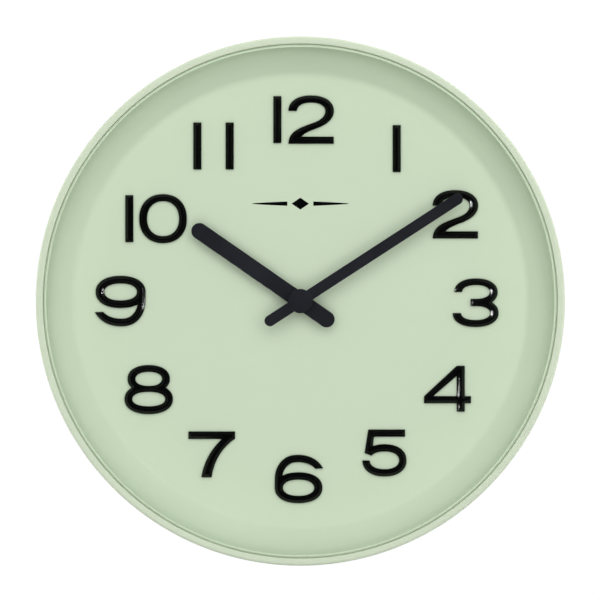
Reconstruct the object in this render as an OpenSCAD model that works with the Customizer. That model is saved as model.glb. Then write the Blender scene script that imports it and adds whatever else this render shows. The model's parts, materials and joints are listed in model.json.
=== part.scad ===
// Round wall clock: a dished dial in a moulded ring, raised numerals, two hands, a quartz movement.
// Millimetres. The wall is the plane Y = 0, the front faces -Y and up is +Z.
// The origin is where the axis of the hands meets the wall.
// Each piece is drawn lying down (x to the right, y up the dial, z out of the wall),
// and stand() turns it upright.

/* [Case] */
// Outer diameter of the case
case_d = 300; // [240:1:420]
// Depth from the wall to the front lip
case_depth = 42; // [38:0.5:60]
// Width of the lip seen from the front
lip_w = 4.3; // [3:0.1:10]
// Wall thickness of the ring
case_wall = 2.4; // [1.6:0.1:4]
// How much smaller the ring is at the wall, on the radius
case_draft = 1.4; // [0:0.1:4]
// Open seam between the ring and the dial
seam = 0.7; // [0.3:0.1:2]

/* [Dial] */
// Thickness of the dial moulding
dial_t = 2.2; // [1.6:0.1:4]
// Radial width of the curved border
cove_w = 17; // [10:0.5:30]
// How far the top of the dial stays below the front lip
dial_drop = 0.7; // [0.2:0.1:3]
// Number of screws that hold the dial, and as many for the rear cover
screw_count = 6; // [3:1:12]

/* [Numerals] */
// Height of a round numeral
numeral_h = 27.7; // [16:0.1:36]
// Width of a single round numeral
numeral_w = 26.9; // [16:0.1:36]
// Height of the numerals above the dial
numeral_rise = 3; // [1:0.1:5]
// Radius of the circle the numerals stand on
numeral_ring = 101; // [70:0.5:130]
// Radius of the pegs under the numerals
peg_r = 1; // [0.6:0.05:1.5]

/* [Hands] */
// Reach of the minute hand
minute_reach = 109.6; // [60:0.2:125]
// Tail of the minute hand
minute_tail = 23.7; // [10:0.1:40]
// Width of the minute hand
minute_w = 6.3; // [4:0.1:12]
// Reach of the hour hand
hour_reach = 74.5; // [40:0.5:100]
// Tail of the hour hand
hour_tail = 22.8; // [10:0.1:40]
// Width of the hour hand
hour_w = 9.3; // [6:0.1:16]
// Diameter of the disc in the middle of the minute hand
hub_d = 13.8; // [10:0.1:24]
// Thickness of the hands
hand_t = 1.2; // [0.6:0.1:2.5]
// Time shown at rest: whole hours
show_hour = 10; // [0:1:11]
// Time shown at rest: minutes
show_minute = 9.5; // [0:0.5:59.5]

/* [Movement] */
// Width and height of the movement case
move_w = 56; // [56:1:70]
// Wall of the movement case
move_wall = 1.2; // [0.8:0.1:2]
// Space between the wall and the movement
move_back_z = 5.8; // [5.5:0.1:12]
// Distance from the middle arbor to the wheels beside it
train_c = 9.6; // [9.6:0.1:10]
// Outer radius of the threaded bush
bush_r = 4; // [3.8:0.1:5]
// Width of the bush nut across its flats
nut_af = 11; // [10:0.5:13]
// Diameter of the setting knob
knob_d = 14; // [10:0.5:18]

/* [Battery] */
// Diameter of the cell in its sleeve
cell_d = 14.2; // [13.5:0.1:14.5]
// Length of the cell over its cap
cell_l = 50.5; // [49:0.1:50.5]

/* [Hanger] */
// Radius of the round hole that goes over the nail's head
keyhole_r = 4.5; // [3:0.1:7]
// Width of the slot above the round hole
keyhole_slot = 4.6; // [3:0.1:8]
// Height of the round hole above the axis
keyhole_up = 108; // [60:1:120]
// Thickness of the hanger plate
hanger_t = 1.2; // [0.8:0.1:2]

/* [Fits] */
// Gap on the radius between a turning piece and its bearing
run_gap = 0.05; // [0.02:0.01:0.1]
// Gap on the radius between a peg or a screw and its hole
peg_gap = 0.05; // [0.02:0.01:0.2]
// Thinning of each gear tooth, for backlash
tooth_gap = 0.06; // [0.04:0.01:0.08]

/* [Hidden] */
$fn = 96;

case_r = case_d / 2;
eps = 0.01;

// heights out of the wall, from the movement up to the hands
move_t = 15.5;                             // depth of the movement case
gasket_t = 1;
gasket_r = 15;
move_front_z = move_back_z + move_t;
move_in_front = move_front_z - move_wall;  // inner side of the movement's front
move_in_back = move_back_z + move_wall;    // inner side of the movement's back
dial_under = move_front_z + gasket_t;
dial_z = dial_under + dial_t;
washer_t = 0.6;
nut_t = 2.2;
nut_z = dial_z + washer_t;
bush_top = nut_z + nut_t + 0.6;
hour_z = bush_top + 2.1;                   // underside of the hour hand
pipe_top = hour_z + hand_t + 0.2;
minute_z = pipe_top + 2;                   // underside of the minute hand
hub_t = 1.5;
arbor_top = minute_z + 0.6;

// ring
lip_inner = case_r - lip_w;
ring_back_r = case_r - case_draft;
ring_in_r = ring_back_r - case_wall;       // inside of the ring, straight from back to lip
lip_depth = 5;                             // depth of the thick front lip
cover_z = 2.6;                             // wall side of the rear cover
cover_t = 2.2;
cover_r = ring_in_r - 0.3;
seat_z = cover_z + cover_t;                // the rear cover seats here
seat_t = 2;
seat_in_r = cover_r - 8;
ledge_z = dial_under - 0.3;                // the dial's skirt stands on the ledge here
ledge_t = 2.2;

// dial
dial_r = lip_inner - seam;
skirt_t = 1.8;
flat_r = dial_r - 1 - cove_w;
rim_z = case_depth - dial_drop;
bend_w = cove_w * 0.26;                    // first, gentle part of the curve
bend_a = 25;                               // slope where the gentle part ends
cove_a = 78;                               // slope at the lip
dial_hole_r = bush_r + 0.1;
bend_rad = bend_w / sin(bend_a);
cove_rad = (cove_w - bend_w) / (sin(cove_a) - sin(bend_a));
cove_rise = bend_rad * (1 - cos(bend_a)) + cove_rad * (cos(bend_a) - cos(cove_a));
cove_k = (rim_z - 0.3 - dial_z) / cove_rise; // the curve is stretched to reach the rim

// screws
screw_r = 1.2;
screw_head_r = 2.6;
screw_head_t = 1.4;
boss_r = 3.4;
dial_screw_ring = dial_r - skirt_t - boss_r - 1.5;
dial_screw_l = 9;
cover_screw_ring = cover_r - 4;
cover_screw_l = 9;
screw_step = 360 / screw_count;

// hanger
hanger_w = 26;
hanger_h = 40;
hanger_low = 16;                           // from the round hole down to the plate's lower edge
keyhole_run = 10;                          // from the round hole up to the end of the slot
hanger_z = cover_z - hanger_t;
hanger_screw_y = [3.5 - hanger_low, hanger_h - hanger_low - 3.5]; // from the round hole
hanger_screw_l = 3;
hanger_head_t = 1;
nail_room = keyhole_r + 3.5;               // half width of the window behind the keyhole

// movement layout: [x, y] of each arbor
move_h = move_w / 2;
half_in = move_h - move_wall;
wall_bay_y = -10.5;                        // gear side of the wall beside the battery
wall_bay_t = 1;
cell_y = -half_in + cell_d / 2 + 0.1;
cell_z = move_in_front - 0.25 - cell_d / 2;
cap_x = half_in - 1.25;                    // end of the battery's cap
cap_l = 1.4;
cap_r = 2.6;
minute_at = [0, train_c];
knob_dir = 150;                            // direction from the minute wheel to the knob
knob_at = minute_at + train_c * [cos(knob_dir), sin(knob_dir)];
third_at = [-train_c, 0];
mid_dir = 50;                              // direction of the intermediate arbor
mid_c = 10.08;
mid_at = mid_c * [cos(mid_dir), sin(mid_dir)];
rotor_c = 9.8;
rotor_at = mid_at + [rotor_c, 0];
coil_x = 23.2;
post_r = 1.4;
posts = [[-half_in + 2.4, half_in - 2.2], [half_in - 2.4, half_in - 2.2],
    [-half_in + 2.4, wall_bay_y + 1.9], [half_in - 2.4, wall_bay_y + 1.9]];

// movement levels
plate_z = 15.4;
plate_t = 1;
plate_top = plate_z + plate_t;
arbor_r = 1.5;
lower_arbor_r = 1.2;
arbor_low = 13.2;
pipe_r = 2.5;
pivot_r = 0.5;

// tooth counts
cannon_n = 12;
minute_n = 36;
minute_pinion_n = 10;
hour_n = 40;
knob_n = 12;
centre_n = 80;
third_pinion_n = 10;
third_n = 75;
second_pinion_n = 10;
second_n = 60;
mid_pinion_n = 12;
mid_n = 60;
rotor_n = 10;

// ---------- helpers ----------

module stand() rotate([90, 0, 0]) children();

// puts its children at every screw place on a ring
module on_ring(radius, first) {
    for (i = [0 : screw_count - 1])
        rotate(first + i * screw_step) translate([radius, 0, 0]) children();
}

// cylinder from one height to another
module rod(r, z0, z1, at = [0, 0]) {
    translate([at.x, at.y, z0]) cylinder(r = r, h = z1 - z0);
}

// block between two corners
module block(a, b) {
    translate(a) cube(b - a);
}

// self-tapping screw: the head lies below z = 0 and the shank goes up
module screw(length, head_r, head_t, shank_r) {
    difference() {
        union() {
            translate([0, 0, -head_t]) cylinder(r = head_r, h = head_t, $fn = 48);
            cylinder(r = shank_r, h = length - 0.8, $fn = 48);
            translate([0, 0, length - 0.8]) cylinder(r1 = shank_r, r2 = 0.4, h = 0.8, $fn = 48);
        }
        for (turn = [0, 90]) rotate(turn)
            translate([-head_r * 0.6, -0.3, -head_t - eps]) cube([head_r * 1.2, 0.6, head_t * 0.6]);
    }
}

// ---------- gears ----------

function rad(a) = a * PI / 180;
function inv(a) = tan(a) - rad(a);

// radius of a gear and half of its tooth there
function half_tooth(n, m, shift, r) =
    let (rp = n * m / 2, rb = rp * cos(20),
        at_pitch = (m * (PI / 2 + 2 * shift * tan(20)) - tooth_gap) / (2 * rp),
        a = r > rb ? acos(rb / r) : 0)
    (at_pitch + inv(20) - inv(a)) * 180 / PI;

// outline of an involute gear with a tooth on the x axis
function gear_points(n, m, shift, tip, root) =
    let (rp = n * m / 2, rb = rp * cos(20), r0 = max(rb, root) + 0.001, r1 = rp + 0.1 * m * shift,
        h_root = half_tooth(n, m, shift, r0) * (root < rb ? 0.94 : 1),
        flank = [[root, h_root], [r0, half_tooth(n, m, shift, r0)],
            [r1, half_tooth(n, m, shift, r1)], [(r1 + tip) / 2, half_tooth(n, m, shift, (r1 + tip) / 2)],
            [tip, half_tooth(n, m, shift, tip)]])
    [for (i = [0 : n - 1]) let (c = i * 360 / n)
        each concat(
            [for (p = flank) p[0] * [cos(c - p[1]), sin(c - p[1])]],
            [for (k = [len(flank) - 1 : -1 : 0]) flank[k][0]
                * [cos(c + flank[k][1]), sin(c + flank[k][1])]])];

// A small wheel drives a large one: the pinion's teeth are long and the wheel's are short.
tooth_shift = 0.35;
module pinion(n, m, z0, z1) {
    rp = n * m / 2;
    translate([0, 0, z0]) linear_extrude(z1 - z0)
        polygon(gear_points(n, m, tooth_shift,
            rp + m * (0.85 + tooth_shift), rp - m * (1.2 - tooth_shift)));
}

module wheel(n, m, z0, z1) {
    rp = n * m / 2;
    translate([0, 0, z0]) linear_extrude(z1 - z0)
        polygon(gear_points(n, m, -tooth_shift,
            rp + m * (0.65 - tooth_shift), rp - m * (1.15 + tooth_shift)));
}

// where gear b's tooth points when gear a has a tooth at angle ta and b lies in direction d from a
function mesh_turn(na, ta, nb, d) = d + 180 + 180 / nb - (ta - d) * na / nb;

function module_of(c, na, nb) = 2 * c / (na + nb);

// ---------- case ----------

module case_ring() {
    color([0.83, 0.87, 0.79]) stand() difference() {
        union() {
            rotate_extrude($fn = 180) polygon(concat(
                [[ring_back_r - 0.5, 0], [ring_back_r, 0.5], [case_r, case_depth - 6]],
                [for (a = [0 : 15 : 90])
                    [case_r - 1.8 + 1.8 * cos(a), case_depth - 1.8 + 1.8 * sin(a)]],
                [for (a = [90 : 15 : 180])
                    [lip_inner + 1 + cos(a), case_depth - 1 + sin(a)]],
                [[lip_inner, case_depth - lip_depth], [ring_in_r, case_depth - lip_depth - 1.5],
                    [ring_in_r, 0]]));
            // seat for the rear cover and ledge for the dial
            rotate_extrude($fn = 180) polygon([[seat_in_r, seat_z], [ring_in_r + 1, seat_z],
                [ring_in_r + 1, seat_z + seat_t], [seat_in_r, seat_z + seat_t]]);
            rotate_extrude($fn = 180) polygon([[dial_screw_ring, ledge_z - ledge_t],
                [ring_in_r + 1, ledge_z - ledge_t], [ring_in_r + 1, ledge_z],
                [dial_screw_ring, ledge_z]]);
            on_ring(dial_screw_ring, screw_step / 2) rod(boss_r + 0.6, ledge_z - ledge_t, ledge_z);
            on_ring(cover_screw_ring, 0) rod(boss_r, seat_z + seat_t / 2, ledge_z - ledge_t / 2);
        }
        on_ring(dial_screw_ring, screw_step / 2) rod(screw_r + peg_gap, ledge_z - ledge_t - 1, ledge_z + 1);
        on_ring(cover_screw_ring, 0) rod(screw_r + peg_gap, seat_z - 1, seat_z + cover_screw_l - cover_t);
    }
}

// [radius, height, slope] along the dial's curved border
function cove_curve() = concat(
    [for (a = [0 : 5 : bend_a]) [flat_r + bend_rad * sin(a),
        dial_z + cove_k * bend_rad * (1 - cos(a)), a]],
    [for (i = [1 : 10]) let (a = bend_a + i * (cove_a - bend_a) / 10)
        [flat_r + bend_w + cove_rad * (sin(a) - sin(bend_a)),
            dial_z + cove_k * (bend_rad * (1 - cos(bend_a)) + cove_rad * (cos(bend_a) - cos(a))), a]]);

module dial() {
    curve = cove_curve();
    under = [for (i = [len(curve) - 1 : -1 : 0]) let (p = curve[i])
        if (p[0] < dial_r - skirt_t - 0.3) [p[0], p[1] - dial_t / cos(p[2])]];
    color([0.80, 0.86, 0.76]) stand() difference() {
        union() {
            rotate_extrude($fn = 180) polygon(concat(
                [[dial_hole_r, dial_z]],
                [for (p = curve) [p[0], p[1]]],
                [[dial_r - 0.5, rim_z], [dial_r - 0.2, rim_z - 0.1], [dial_r, rim_z - 0.5],
                    [dial_r, ledge_z], [dial_r - skirt_t, ledge_z], [dial_r - skirt_t, under[0].y]],
                under,
                [[dial_hole_r, dial_under]]));
            // screw bosses and the ribs that join them to the skirt
            on_ring(dial_screw_ring, screw_step / 2) {
                rod(boss_r, ledge_z, dial_z + 3);
                translate([0, -0.8, ledge_z]) cube([dial_r - 0.5 - dial_screw_ring, 1.6, 5]);
            }
        }
        on_ring(dial_screw_ring, screw_step / 2) rod(screw_r + peg_gap, ledge_z - 1, ledge_z + 7.2);
        for (n = [1 : 12]) at_numeral(n) rod(peg_r + peg_gap, dial_under - 1, dial_z + 1, [0, 0]);
    }
}

module rear_cover() {
    window = move_w + 4;
    color([0.80, 0.85, 0.77]) stand() difference() {
        union() {
            rod(cover_r, cover_z, seat_z);
            // rim round the movement window and ribs out to the edge
            for (s = [-1, 1]) {
                translate([s * (window / 2 + 1), 0, seat_z + 1.5])
                    cube([2, window + 4, 3 + eps], center = true);
                translate([0, s * (window / 2 + 1), seat_z + 1.5])
                    cube([window + 4, 2, 3 + eps], center = true);
            }
            for (a = [45 : 90 : 315]) rotate(a)
                block([move_w * 0.8, -1, cover_z + 1], [seat_in_r - 2, 1, seat_z + 3]);
        }
        translate([0, 0, cover_z]) cube([window, window, 40], center = true);
        block([-nail_room, keyhole_up - nail_room, cover_z - 1],
            [nail_room, keyhole_up + keyhole_run + nail_room, seat_z + 1]);
        on_ring(cover_screw_ring, 0) rod(screw_r + peg_gap, cover_z - 1, seat_z + 1);
        for (y = hanger_screw_y) rod(screw_r + peg_gap, cover_z - 1, seat_z + 3, [0, keyhole_up + y]);
        // shallow recesses that let the screw heads sit below the wall face
        on_ring(cover_screw_ring, 0) rod(screw_head_r + 0.4, cover_z - 1, cover_z + 0.6);
    }
}

module cover_screws() {
    color([0.75, 0.76, 0.78]) stand() on_ring(cover_screw_ring, 0)
        translate([0, 0, cover_z + 0.6]) screw(cover_screw_l - 1, screw_head_r, screw_head_t, screw_r);
}

module dial_screws() {
    color([0.75, 0.76, 0.78]) stand() on_ring(dial_screw_ring, screw_step / 2)
        translate([0, 0, ledge_z - ledge_t])
            screw(dial_screw_l, screw_head_r, screw_head_t, screw_r);
}

module hanger_plate() {
    color([0.78, 0.79, 0.80]) stand() difference() {
        block([-hanger_w / 2, keyhole_up - hanger_low, hanger_z],
            [hanger_w / 2, keyhole_up - hanger_low + hanger_h, cover_z]);
        rod(keyhole_r, hanger_z - 1, cover_z + 1, [0, keyhole_up]);
        block([-keyhole_slot / 2, keyhole_up, hanger_z - 1],
            [keyhole_slot / 2, keyhole_up + keyhole_run, cover_z + 1]);
        rod(keyhole_slot / 2, hanger_z - 1, cover_z + 1, [0, keyhole_up + keyhole_run]);
        for (y = hanger_screw_y)
            rod(screw_r + peg_gap, hanger_z - 1, cover_z + 1, [0, keyhole_up + y]);
    }
}

module hanger_screws() {
    color([0.75, 0.76, 0.78]) stand() for (y = hanger_screw_y)
        translate([0, keyhole_up + y, hanger_z]) screw(hanger_screw_l, 2.4, hanger_head_t, screw_r);
}

// ---------- numerals ----------
// Outlines are drawn about the middle of a 26.4 x 27.2 box and stretched to the chosen size.

gw = numeral_w / 26.4;
gh = numeral_h / 27.2;
bar_w = 4.6;                               // upright strokes
flat_h = 13.2;                             // half height of the flat-topped numerals
pair_gap = 3.6;                            // between the two digits of 10 and 12
eleven_step = 18.1;                        // between the two bars of 11
nine_grow = 1.045;                         // the 9 is drawn a little larger than the 6

function flat(points) = [for (p = points) [p.x * gw, p.y * gh]];
function sgn(v) = v < 0 ? -1 : 1;

// arc of an ellipse that is a little squared, from angle t0 to t1
function oval(cx, cy, a, b, t0, t1, k = 24) = [for (i = [0 : k])
    let (t = t0 + (t1 - t0) * i / k, e = 2 / 2.2)
    [cx + a * sgn(cos(t)) * pow(abs(cos(t)), e), cy + b * sgn(sin(t)) * pow(abs(sin(t)), e)]];

function bend(p, q, r, s, k = 12) = [for (i = [0 : k]) let (t = i / k, u = 1 - t)
    u * u * u * p + 3 * u * u * t * q + 3 * u * t * t * r + t * t * t * s];

module stroke(points) linear_extrude(numeral_rise) polygon(flat(points));

module ring(cx, cy, a, b, ia, ib) {
    difference() {
        stroke(oval(cx, cy, a, b, 0, 352.5, 47));
        translate([0, 0, -1]) linear_extrude(numeral_rise + 2)
            polygon(flat(oval(cx, cy, ia, ib, 0, 352.5, 47)));
    }
}

module bar(x0, y0, x1, y1) stroke([[x0, y0], [x1, y0], [x1, y1], [x0, y1]]);

module digit_1() bar(-bar_w / 2, -flat_h, bar_w / 2, flat_h);

module digit_2() {
    stroke(concat(
        oval(0, 4.8, 12.8, 8.8, 180, 0, 36),
        bend([12.8, 4.8], [12.8, 0.2], [8.6, -2.9], [3.2, -4.9]),
        bend([3.2, -4.9], [-1.6, -6.6], [-4.2, -8], [-5.6, -9.6]),
        [[-5.6, -13.6], [-12.8, -13.6]],
        bend([-12.7, -12.6], [-12.2, -6.2], [-5.6, -4.2], [1.6, -1.6]),
        bend([1.6, -1.6], [5.6, -0.1], [7.9, 2], [7.9, 4.8]),
        oval(0, 4.8, 7.9, 4.7, 0, 180, 36)));
    bar(-6, -13.6, 12.7, -9.5);
}

module digit_3() {
    stroke(concat(
        oval(0.2, 6, 12.2, 7.7, 180, 0, 30), oval(0.2, 6, 12.2, 7.9, 0, -90, 15),
        [[-2.9, -1.9], [-2.9, 2.3]],
        oval(0.2, 6, 7.7, 3.7, -90, 0, 15), oval(0.2, 6, 7.7, 3.9, 0, 180, 30)));
    stroke(concat(
        oval(0, -5.7, 12.9, 7.9, 180, 360, 30), oval(0, -5.7, 12.9, 8, 0, 90, 15),
        [[-2.9, 2.3], [-2.9, -1.9]],
        oval(0, -5.7, 8.1, 3.8, 90, 0, 15), oval(0, -5.7, 8.1, 3.9, 360, 180, 30)));
}

module digit_4() {
    bar(5.1, -12.9, 9.7, 12.9);
    bar(-13.2, -8.2, 13.2, -4.1);
    stroke([[-13.2, -4.2], [5.2, 12.9], [9.6, 12.9], [5.2, 7.2], [-8, -4.2]]);
}

module digit_5() {
    stroke(concat(
        oval(0, -4.3, 12.4, 9.1, 180, 480, 50),
        [[-9, 3], [-9, -0.6], [-7.4, -1.6]],
        oval(0, -4.3, 8.2, 4.9, 515, 180, 50)));
    stroke([[-9.1, 13], [-11.2, -0.2], [-7.4, -1.6], [-6.4, 3.8], [-5.9, 8.9], [-5.9, 13]]);
    bar(-9.1, 8.9, 11.6, 13);
}

module digit_6() {
    bowl = -4.9;
    difference() {
        union() {
            stroke(oval(0, bowl, 13.4, 8.7, 0, 352.5, 47));
            stroke(concat(
                oval(-0.6, -1, 15.9, 14.6, 26, 90, 16), oval(-0.6, -1, 12.8, 14.6, 90, 180, 24),
                [[-13.4, bowl], [-9, bowl]],
                oval(-0.6, -1, 8.7, 10.4, 180, 90, 24), oval(-0.6, -1, 12.4, 10.4, 90, 38, 16)));
        }
        translate([0, 0, -1]) linear_extrude(numeral_rise + 2)
            polygon(flat(oval(0, bowl, 8.7, 4.5, 0, 352.5, 47)));
    }
}

module digit_7() {
    bar(-13.1, 8.6, 13.1, 12.9);
    stroke(concat(
        bend([13, 8.7], [6, 4.2], [1, -4], [0, -12.9]),
        bend([-5.9, -12.9], [-4.8, -5], [-0.6, 3.2], [5.8, 8.7])));
}

module digit_8() {
    difference() {
        union() {
            stroke(oval(0, 6, 11.9, 7.8, 0, 352.5, 47));
            stroke(oval(0, -5.3, 13.6, 8.5, 0, 352.5, 47));
        }
        for (hole = [[6, 7.4, 3.9], [-5.3, 9.2, 4]])
            translate([0, 0, -1]) linear_extrude(numeral_rise + 2)
                polygon(flat(oval(0, hole[0], hole[1], hole[2], 0, 352.5, 47)));
    }
}

module digit_9() scale([nine_grow, nine_grow, 1]) rotate(180) digit_6();

module digit_0() ring(0, 0, 13.4, 13.8, 8.9, 9.7);

// where each digit of a numeral stands, from the numeral's middle: [digit, x]
single_half = 13;
pair_one = -(2 * single_half + pair_gap + bar_w) / 2 + bar_w / 2;
pair_two = (2 * single_half + pair_gap + bar_w) / 2 - single_half;
function digits(n) = n < 10 ? [[n, 0]]
    : n == 10 ? [[1, pair_one], [0, pair_two]]
    : n == 11 ? [[1, -eleven_step / 2], [1, eleven_step / 2]]
    : [[1, pair_one], [2, pair_two]];

// two pegs under each digit, in the middle of a stroke
function pegs(d) = d == 0 ? [[-11.1, 0], [11.1, 0]]
    : d == 1 ? [[0, -9], [0, 9]]
    : d == 2 ? [[0, 11.5], [0, -11.5]]
    : d == 3 ? [[0.2, 11.7], [0, -11.6]]
    : d == 4 ? [[7.4, 10], [-9, -6.1]]
    : d == 5 ? [[6, 11], [0, -11.3]]
    : d == 6 ? [[-0.6, 11.5], [0, -11.5]]
    : d == 7 ? [[-8, 10.7], [-2.2, -10]]
    : d == 8 ? [[0, 11.8], [0, -11.6]]
    : [[0.6, -11.5], [0, 11.5]];

// how far each numeral stands off its hour mark on the ring, from 12 on; the wide 10 moves in
numeral_shift = [[2, 2.5], [4.5, -0.5], [1, -1], [-1, -1], [-3.5, 0.5], [-2.5, 1], [-1, -0.5],
    [0, 0], [1, 0], [-1.5, 0], [5, -3.5], [1, 1]];
function numeral_place(n) = numeral_ring * [sin(30 * n), cos(30 * n)] + numeral_shift[n % 12];

module at_numeral(n) {
    for (d = digits(n), p = pegs(d[0]))
        translate(concat(numeral_place(n) + [(d[1] + p.x) * gw, p.y * gh], [0])) children();
}

module digit(d) {
    if (d == 0) digit_0();
    if (d == 1) digit_1();
    if (d == 2) digit_2();
    if (d == 3) digit_3();
    if (d == 4) digit_4();
    if (d == 5) digit_5();
    if (d == 6) digit_6();
    if (d == 7) digit_7();
    if (d == 8) digit_8();
    if (d == 9) digit_9();
}

module numeral(n) {
    color([0.06, 0.06, 0.07]) stand() {
        for (d = digits(n)) translate(concat(numeral_place(n) + [d[1] * gw, 0], [dial_z])) digit(d[0]);
        at_numeral(n) rod(peg_r, dial_under, dial_z + eps);
    }
}

module numeral_1() numeral(1);
module numeral_2() numeral(2);
module numeral_3() numeral(3);
module numeral_4() numeral(4);
module numeral_5() numeral(5);
module numeral_6() numeral(6);
module numeral_7() numeral(7);
module numeral_8() numeral(8);
module numeral_9() numeral(9);
module numeral_10() numeral(10);
module numeral_11() numeral(11);
module numeral_12() numeral(12);

// ---------- hands ----------

minute_turn = -6 * show_minute;
hour_turn = -30 * (show_hour + show_minute / 60);

// flat hand with round ends, pointing up
module blade(w, reach, tail, z, t) {
    rod(w / 2, z, z + t, [0, reach - w / 2]);
    rod(w / 2, z, z + t, [0, w / 2 - tail]);
    block([-w / 2, w / 2 - tail, z], [w / 2, reach - w / 2, z + t]);
}

module hour_hand() {
    color([0.14, 0.15, 0.18]) stand() rotate(hour_turn) difference() {
        union() {
            blade(hour_w, hour_reach, hour_tail, hour_z, hand_t);
            rod(hub_d / 2 - 0.4, hour_z, hour_z + hand_t);
            rod(pipe_r + 1.5, hour_z - 1.4, hour_z + eps);
        }
        rod(pipe_r, hour_z - 2, hour_z + hand_t + 1);
    }
}

module minute_hand() {
    color([0.14, 0.15, 0.18]) stand() rotate(minute_turn) difference() {
        union() {
            blade(minute_w, minute_reach, minute_tail, minute_z, hand_t);
            rod(hub_d / 2, minute_z, minute_z + hub_t);
            rod(arbor_r + 1.2, minute_z - 1.6, minute_z + eps);
        }
        rod(arbor_r, minute_z - 2, arbor_top);
    }
}

// ---------- movement case and clamp ----------

// plan of the movement case as a frame with its inside cut out
module move_frame(z0, z1) {
    difference() {
        block([-move_h, -move_h, z0], [move_h, move_h, z1]);
        block([-half_in, -half_in, z0 - 1], [half_in, half_in, z1 + 1]);
    }
}

module movement_front() {
    bay = wall_bay_y - wall_bay_t;
    color([0.16, 0.16, 0.17]) stand() difference() {
        union() {
            move_frame(move_in_back, move_front_z);
            block([-move_h, -move_h, move_in_front], [move_h, move_h, move_front_z]);
            block([-half_in - eps, bay, move_in_back], [half_in + eps, wall_bay_y, move_front_z]);
            for (p = posts) rod(post_r, plate_top, move_in_front + eps, p);
            // cradle ribs the cell lies against
            for (x = [-16, 0, 16]) block([x - 0.6, cell_y - 3, cell_z + cell_d / 2 + 0.03],
                [x + 0.6, cell_y + 3, move_in_front + eps]);
            // bearing for the setting knob and the minute wheel
            rod(2.2, plate_top + 2.2, move_in_front + eps, knob_at);
        }
        rod(bush_r, move_in_front - 1, move_front_z + 1);
        rod(pivot_r + run_gap, plate_top, move_in_front + 0.6, knob_at);
        rod(pivot_r + run_gap, plate_top, move_in_front + 0.6, minute_at);
        // passages for the contact strips
        for (s = [-1, 1]) block([s > 0 ? half_in - 0.6 : -half_in, bay - 1, move_in_back - 1],
            [s > 0 ? half_in : -half_in + 0.6, wall_bay_y + 1, 9.8]);
    }
}

module movement_back() {
    window_top = cell_y + cell_d / 2 + 0.1;
    color([0.18, 0.18, 0.19]) stand() difference() {
        union() {
            block([-move_h, -move_h, move_back_z], [move_h, move_h, move_in_back]);
            for (p = posts) rod(post_r, move_in_back - eps, plate_z, p);
            // bearing bosses
            for (p = [third_at, mid_at]) rod(1.6, move_in_back - eps, move_in_back + 0.9, p);
            rod(1.3, move_in_back - eps, move_in_back + 0.6, rotor_at);
            rod(1.3, move_in_back - eps, move_in_back + 2.2);
            // rests for the circuit board and the stator
            for (x = [-16, -4]) rod(1, move_in_back - eps, 9.5, [x, half_in - 3]);
            for (y = [-4, 19]) rod(1, move_in_back - eps, 11.2, [17.4, y]);
        }
        block([-half_in + 0.5, -half_in, move_back_z - 1], [half_in - 0.5, window_top, move_in_back + 1]);
        for (p = [third_at, mid_at]) rod(pivot_r + run_gap, move_in_back - 0.3, move_in_back + 2, p);
        rod(0.4 + run_gap, move_in_back - 0.3, move_in_back + 2, rotor_at);
        rod(pivot_r + run_gap, move_in_back + 0.4, move_in_back + 3);
        rod(arbor_r + run_gap, move_back_z - 1, move_in_back + 1, knob_at);
    }
}

module middle_plate() {
    color([0.85, 0.85, 0.80]) stand() difference() {
        block([-half_in + 0.1, wall_bay_y + 0.1, plate_z], [half_in - 0.1, half_in - 0.1, plate_top]);
        rod(lower_arbor_r + run_gap, plate_z - 1, plate_top + 1);
        rod(arbor_r + run_gap, plate_z - 1, plate_top + 1, knob_at);
        rod(pivot_r + run_gap, plate_z - 1, plate_top + 1, minute_at);
        for (p = [third_at, mid_at]) rod(pivot_r + run_gap, plate_z - 1, plate_z + 0.7, p);
        rod(0.4 + run_gap, plate_z - 1, plate_z + 0.7, rotor_at);
    }
}

module threaded_bush() {
    groove = 0.35;
    color([0.80, 0.66, 0.38]) stand() difference() {
        union() {
            rod(bush_r, move_in_front, bush_top);
            rod(bush_r + 1, move_in_front - 0.4, move_in_front);
        }
        rod(pipe_r + run_gap, move_in_front - 2, bush_top + 1);
        // thread shown as rings above the nut
        translate([0, 0, bush_top - 0.5]) rotate_extrude() polygon([[bush_r - groove, 0.3],
            [bush_r + eps, 0], [bush_r + 1, 0], [bush_r + 1, 1], [bush_r - groove, 1]]);
    }
}

module bush_washer() {
    color([0.78, 0.70, 0.50]) stand() difference() {
        rod(nut_af / 2 + 0.8, dial_z, nut_z);
        rod(bush_r + peg_gap, dial_z - 1, nut_z + 1);
    }
}

module bush_nut() {
    color([0.80, 0.66, 0.38]) stand() difference() {
        translate([0, 0, nut_z]) cylinder(d = nut_af / cos(30), h = nut_t, $fn = 6);
        rod(bush_r + peg_gap, nut_z - 1, nut_z + nut_t + 1);
    }
}

module gasket() {
    color([0.12, 0.12, 0.12]) stand() difference() {
        rod(gasket_r, move_front_z, dial_under);
        rod(bush_r + peg_gap, move_front_z - 1, dial_under + 1);
    }
}

// ---------- motion work ----------

work_m = module_of(train_c, cannon_n, minute_n);
hour_m = module_of(train_c, minute_pinion_n, hour_n);
cannon_tooth = 0;
minute_tooth = mesh_turn(cannon_n, cannon_tooth, minute_n, 90);
minute_pinion_tooth = 0;
hour_tooth = mesh_turn(minute_pinion_n, minute_pinion_tooth, hour_n, -90);
knob_tooth = mesh_turn(minute_n, minute_tooth, knob_n, knob_dir);

module minute_arbor() {
    color([0.82, 0.70, 0.42]) stand() difference() {
        union() {
            rod(lower_arbor_r, arbor_low, plate_top + 0.2);
            rod(arbor_r, plate_top + 0.1, arbor_top - 0.02);
            rotate(cannon_tooth) pinion(cannon_n, work_m, plate_top + 0.2, plate_top + 1.8);
        }
        rod(pivot_r + run_gap, arbor_low - 1, arbor_low + 1);
    }
}

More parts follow.
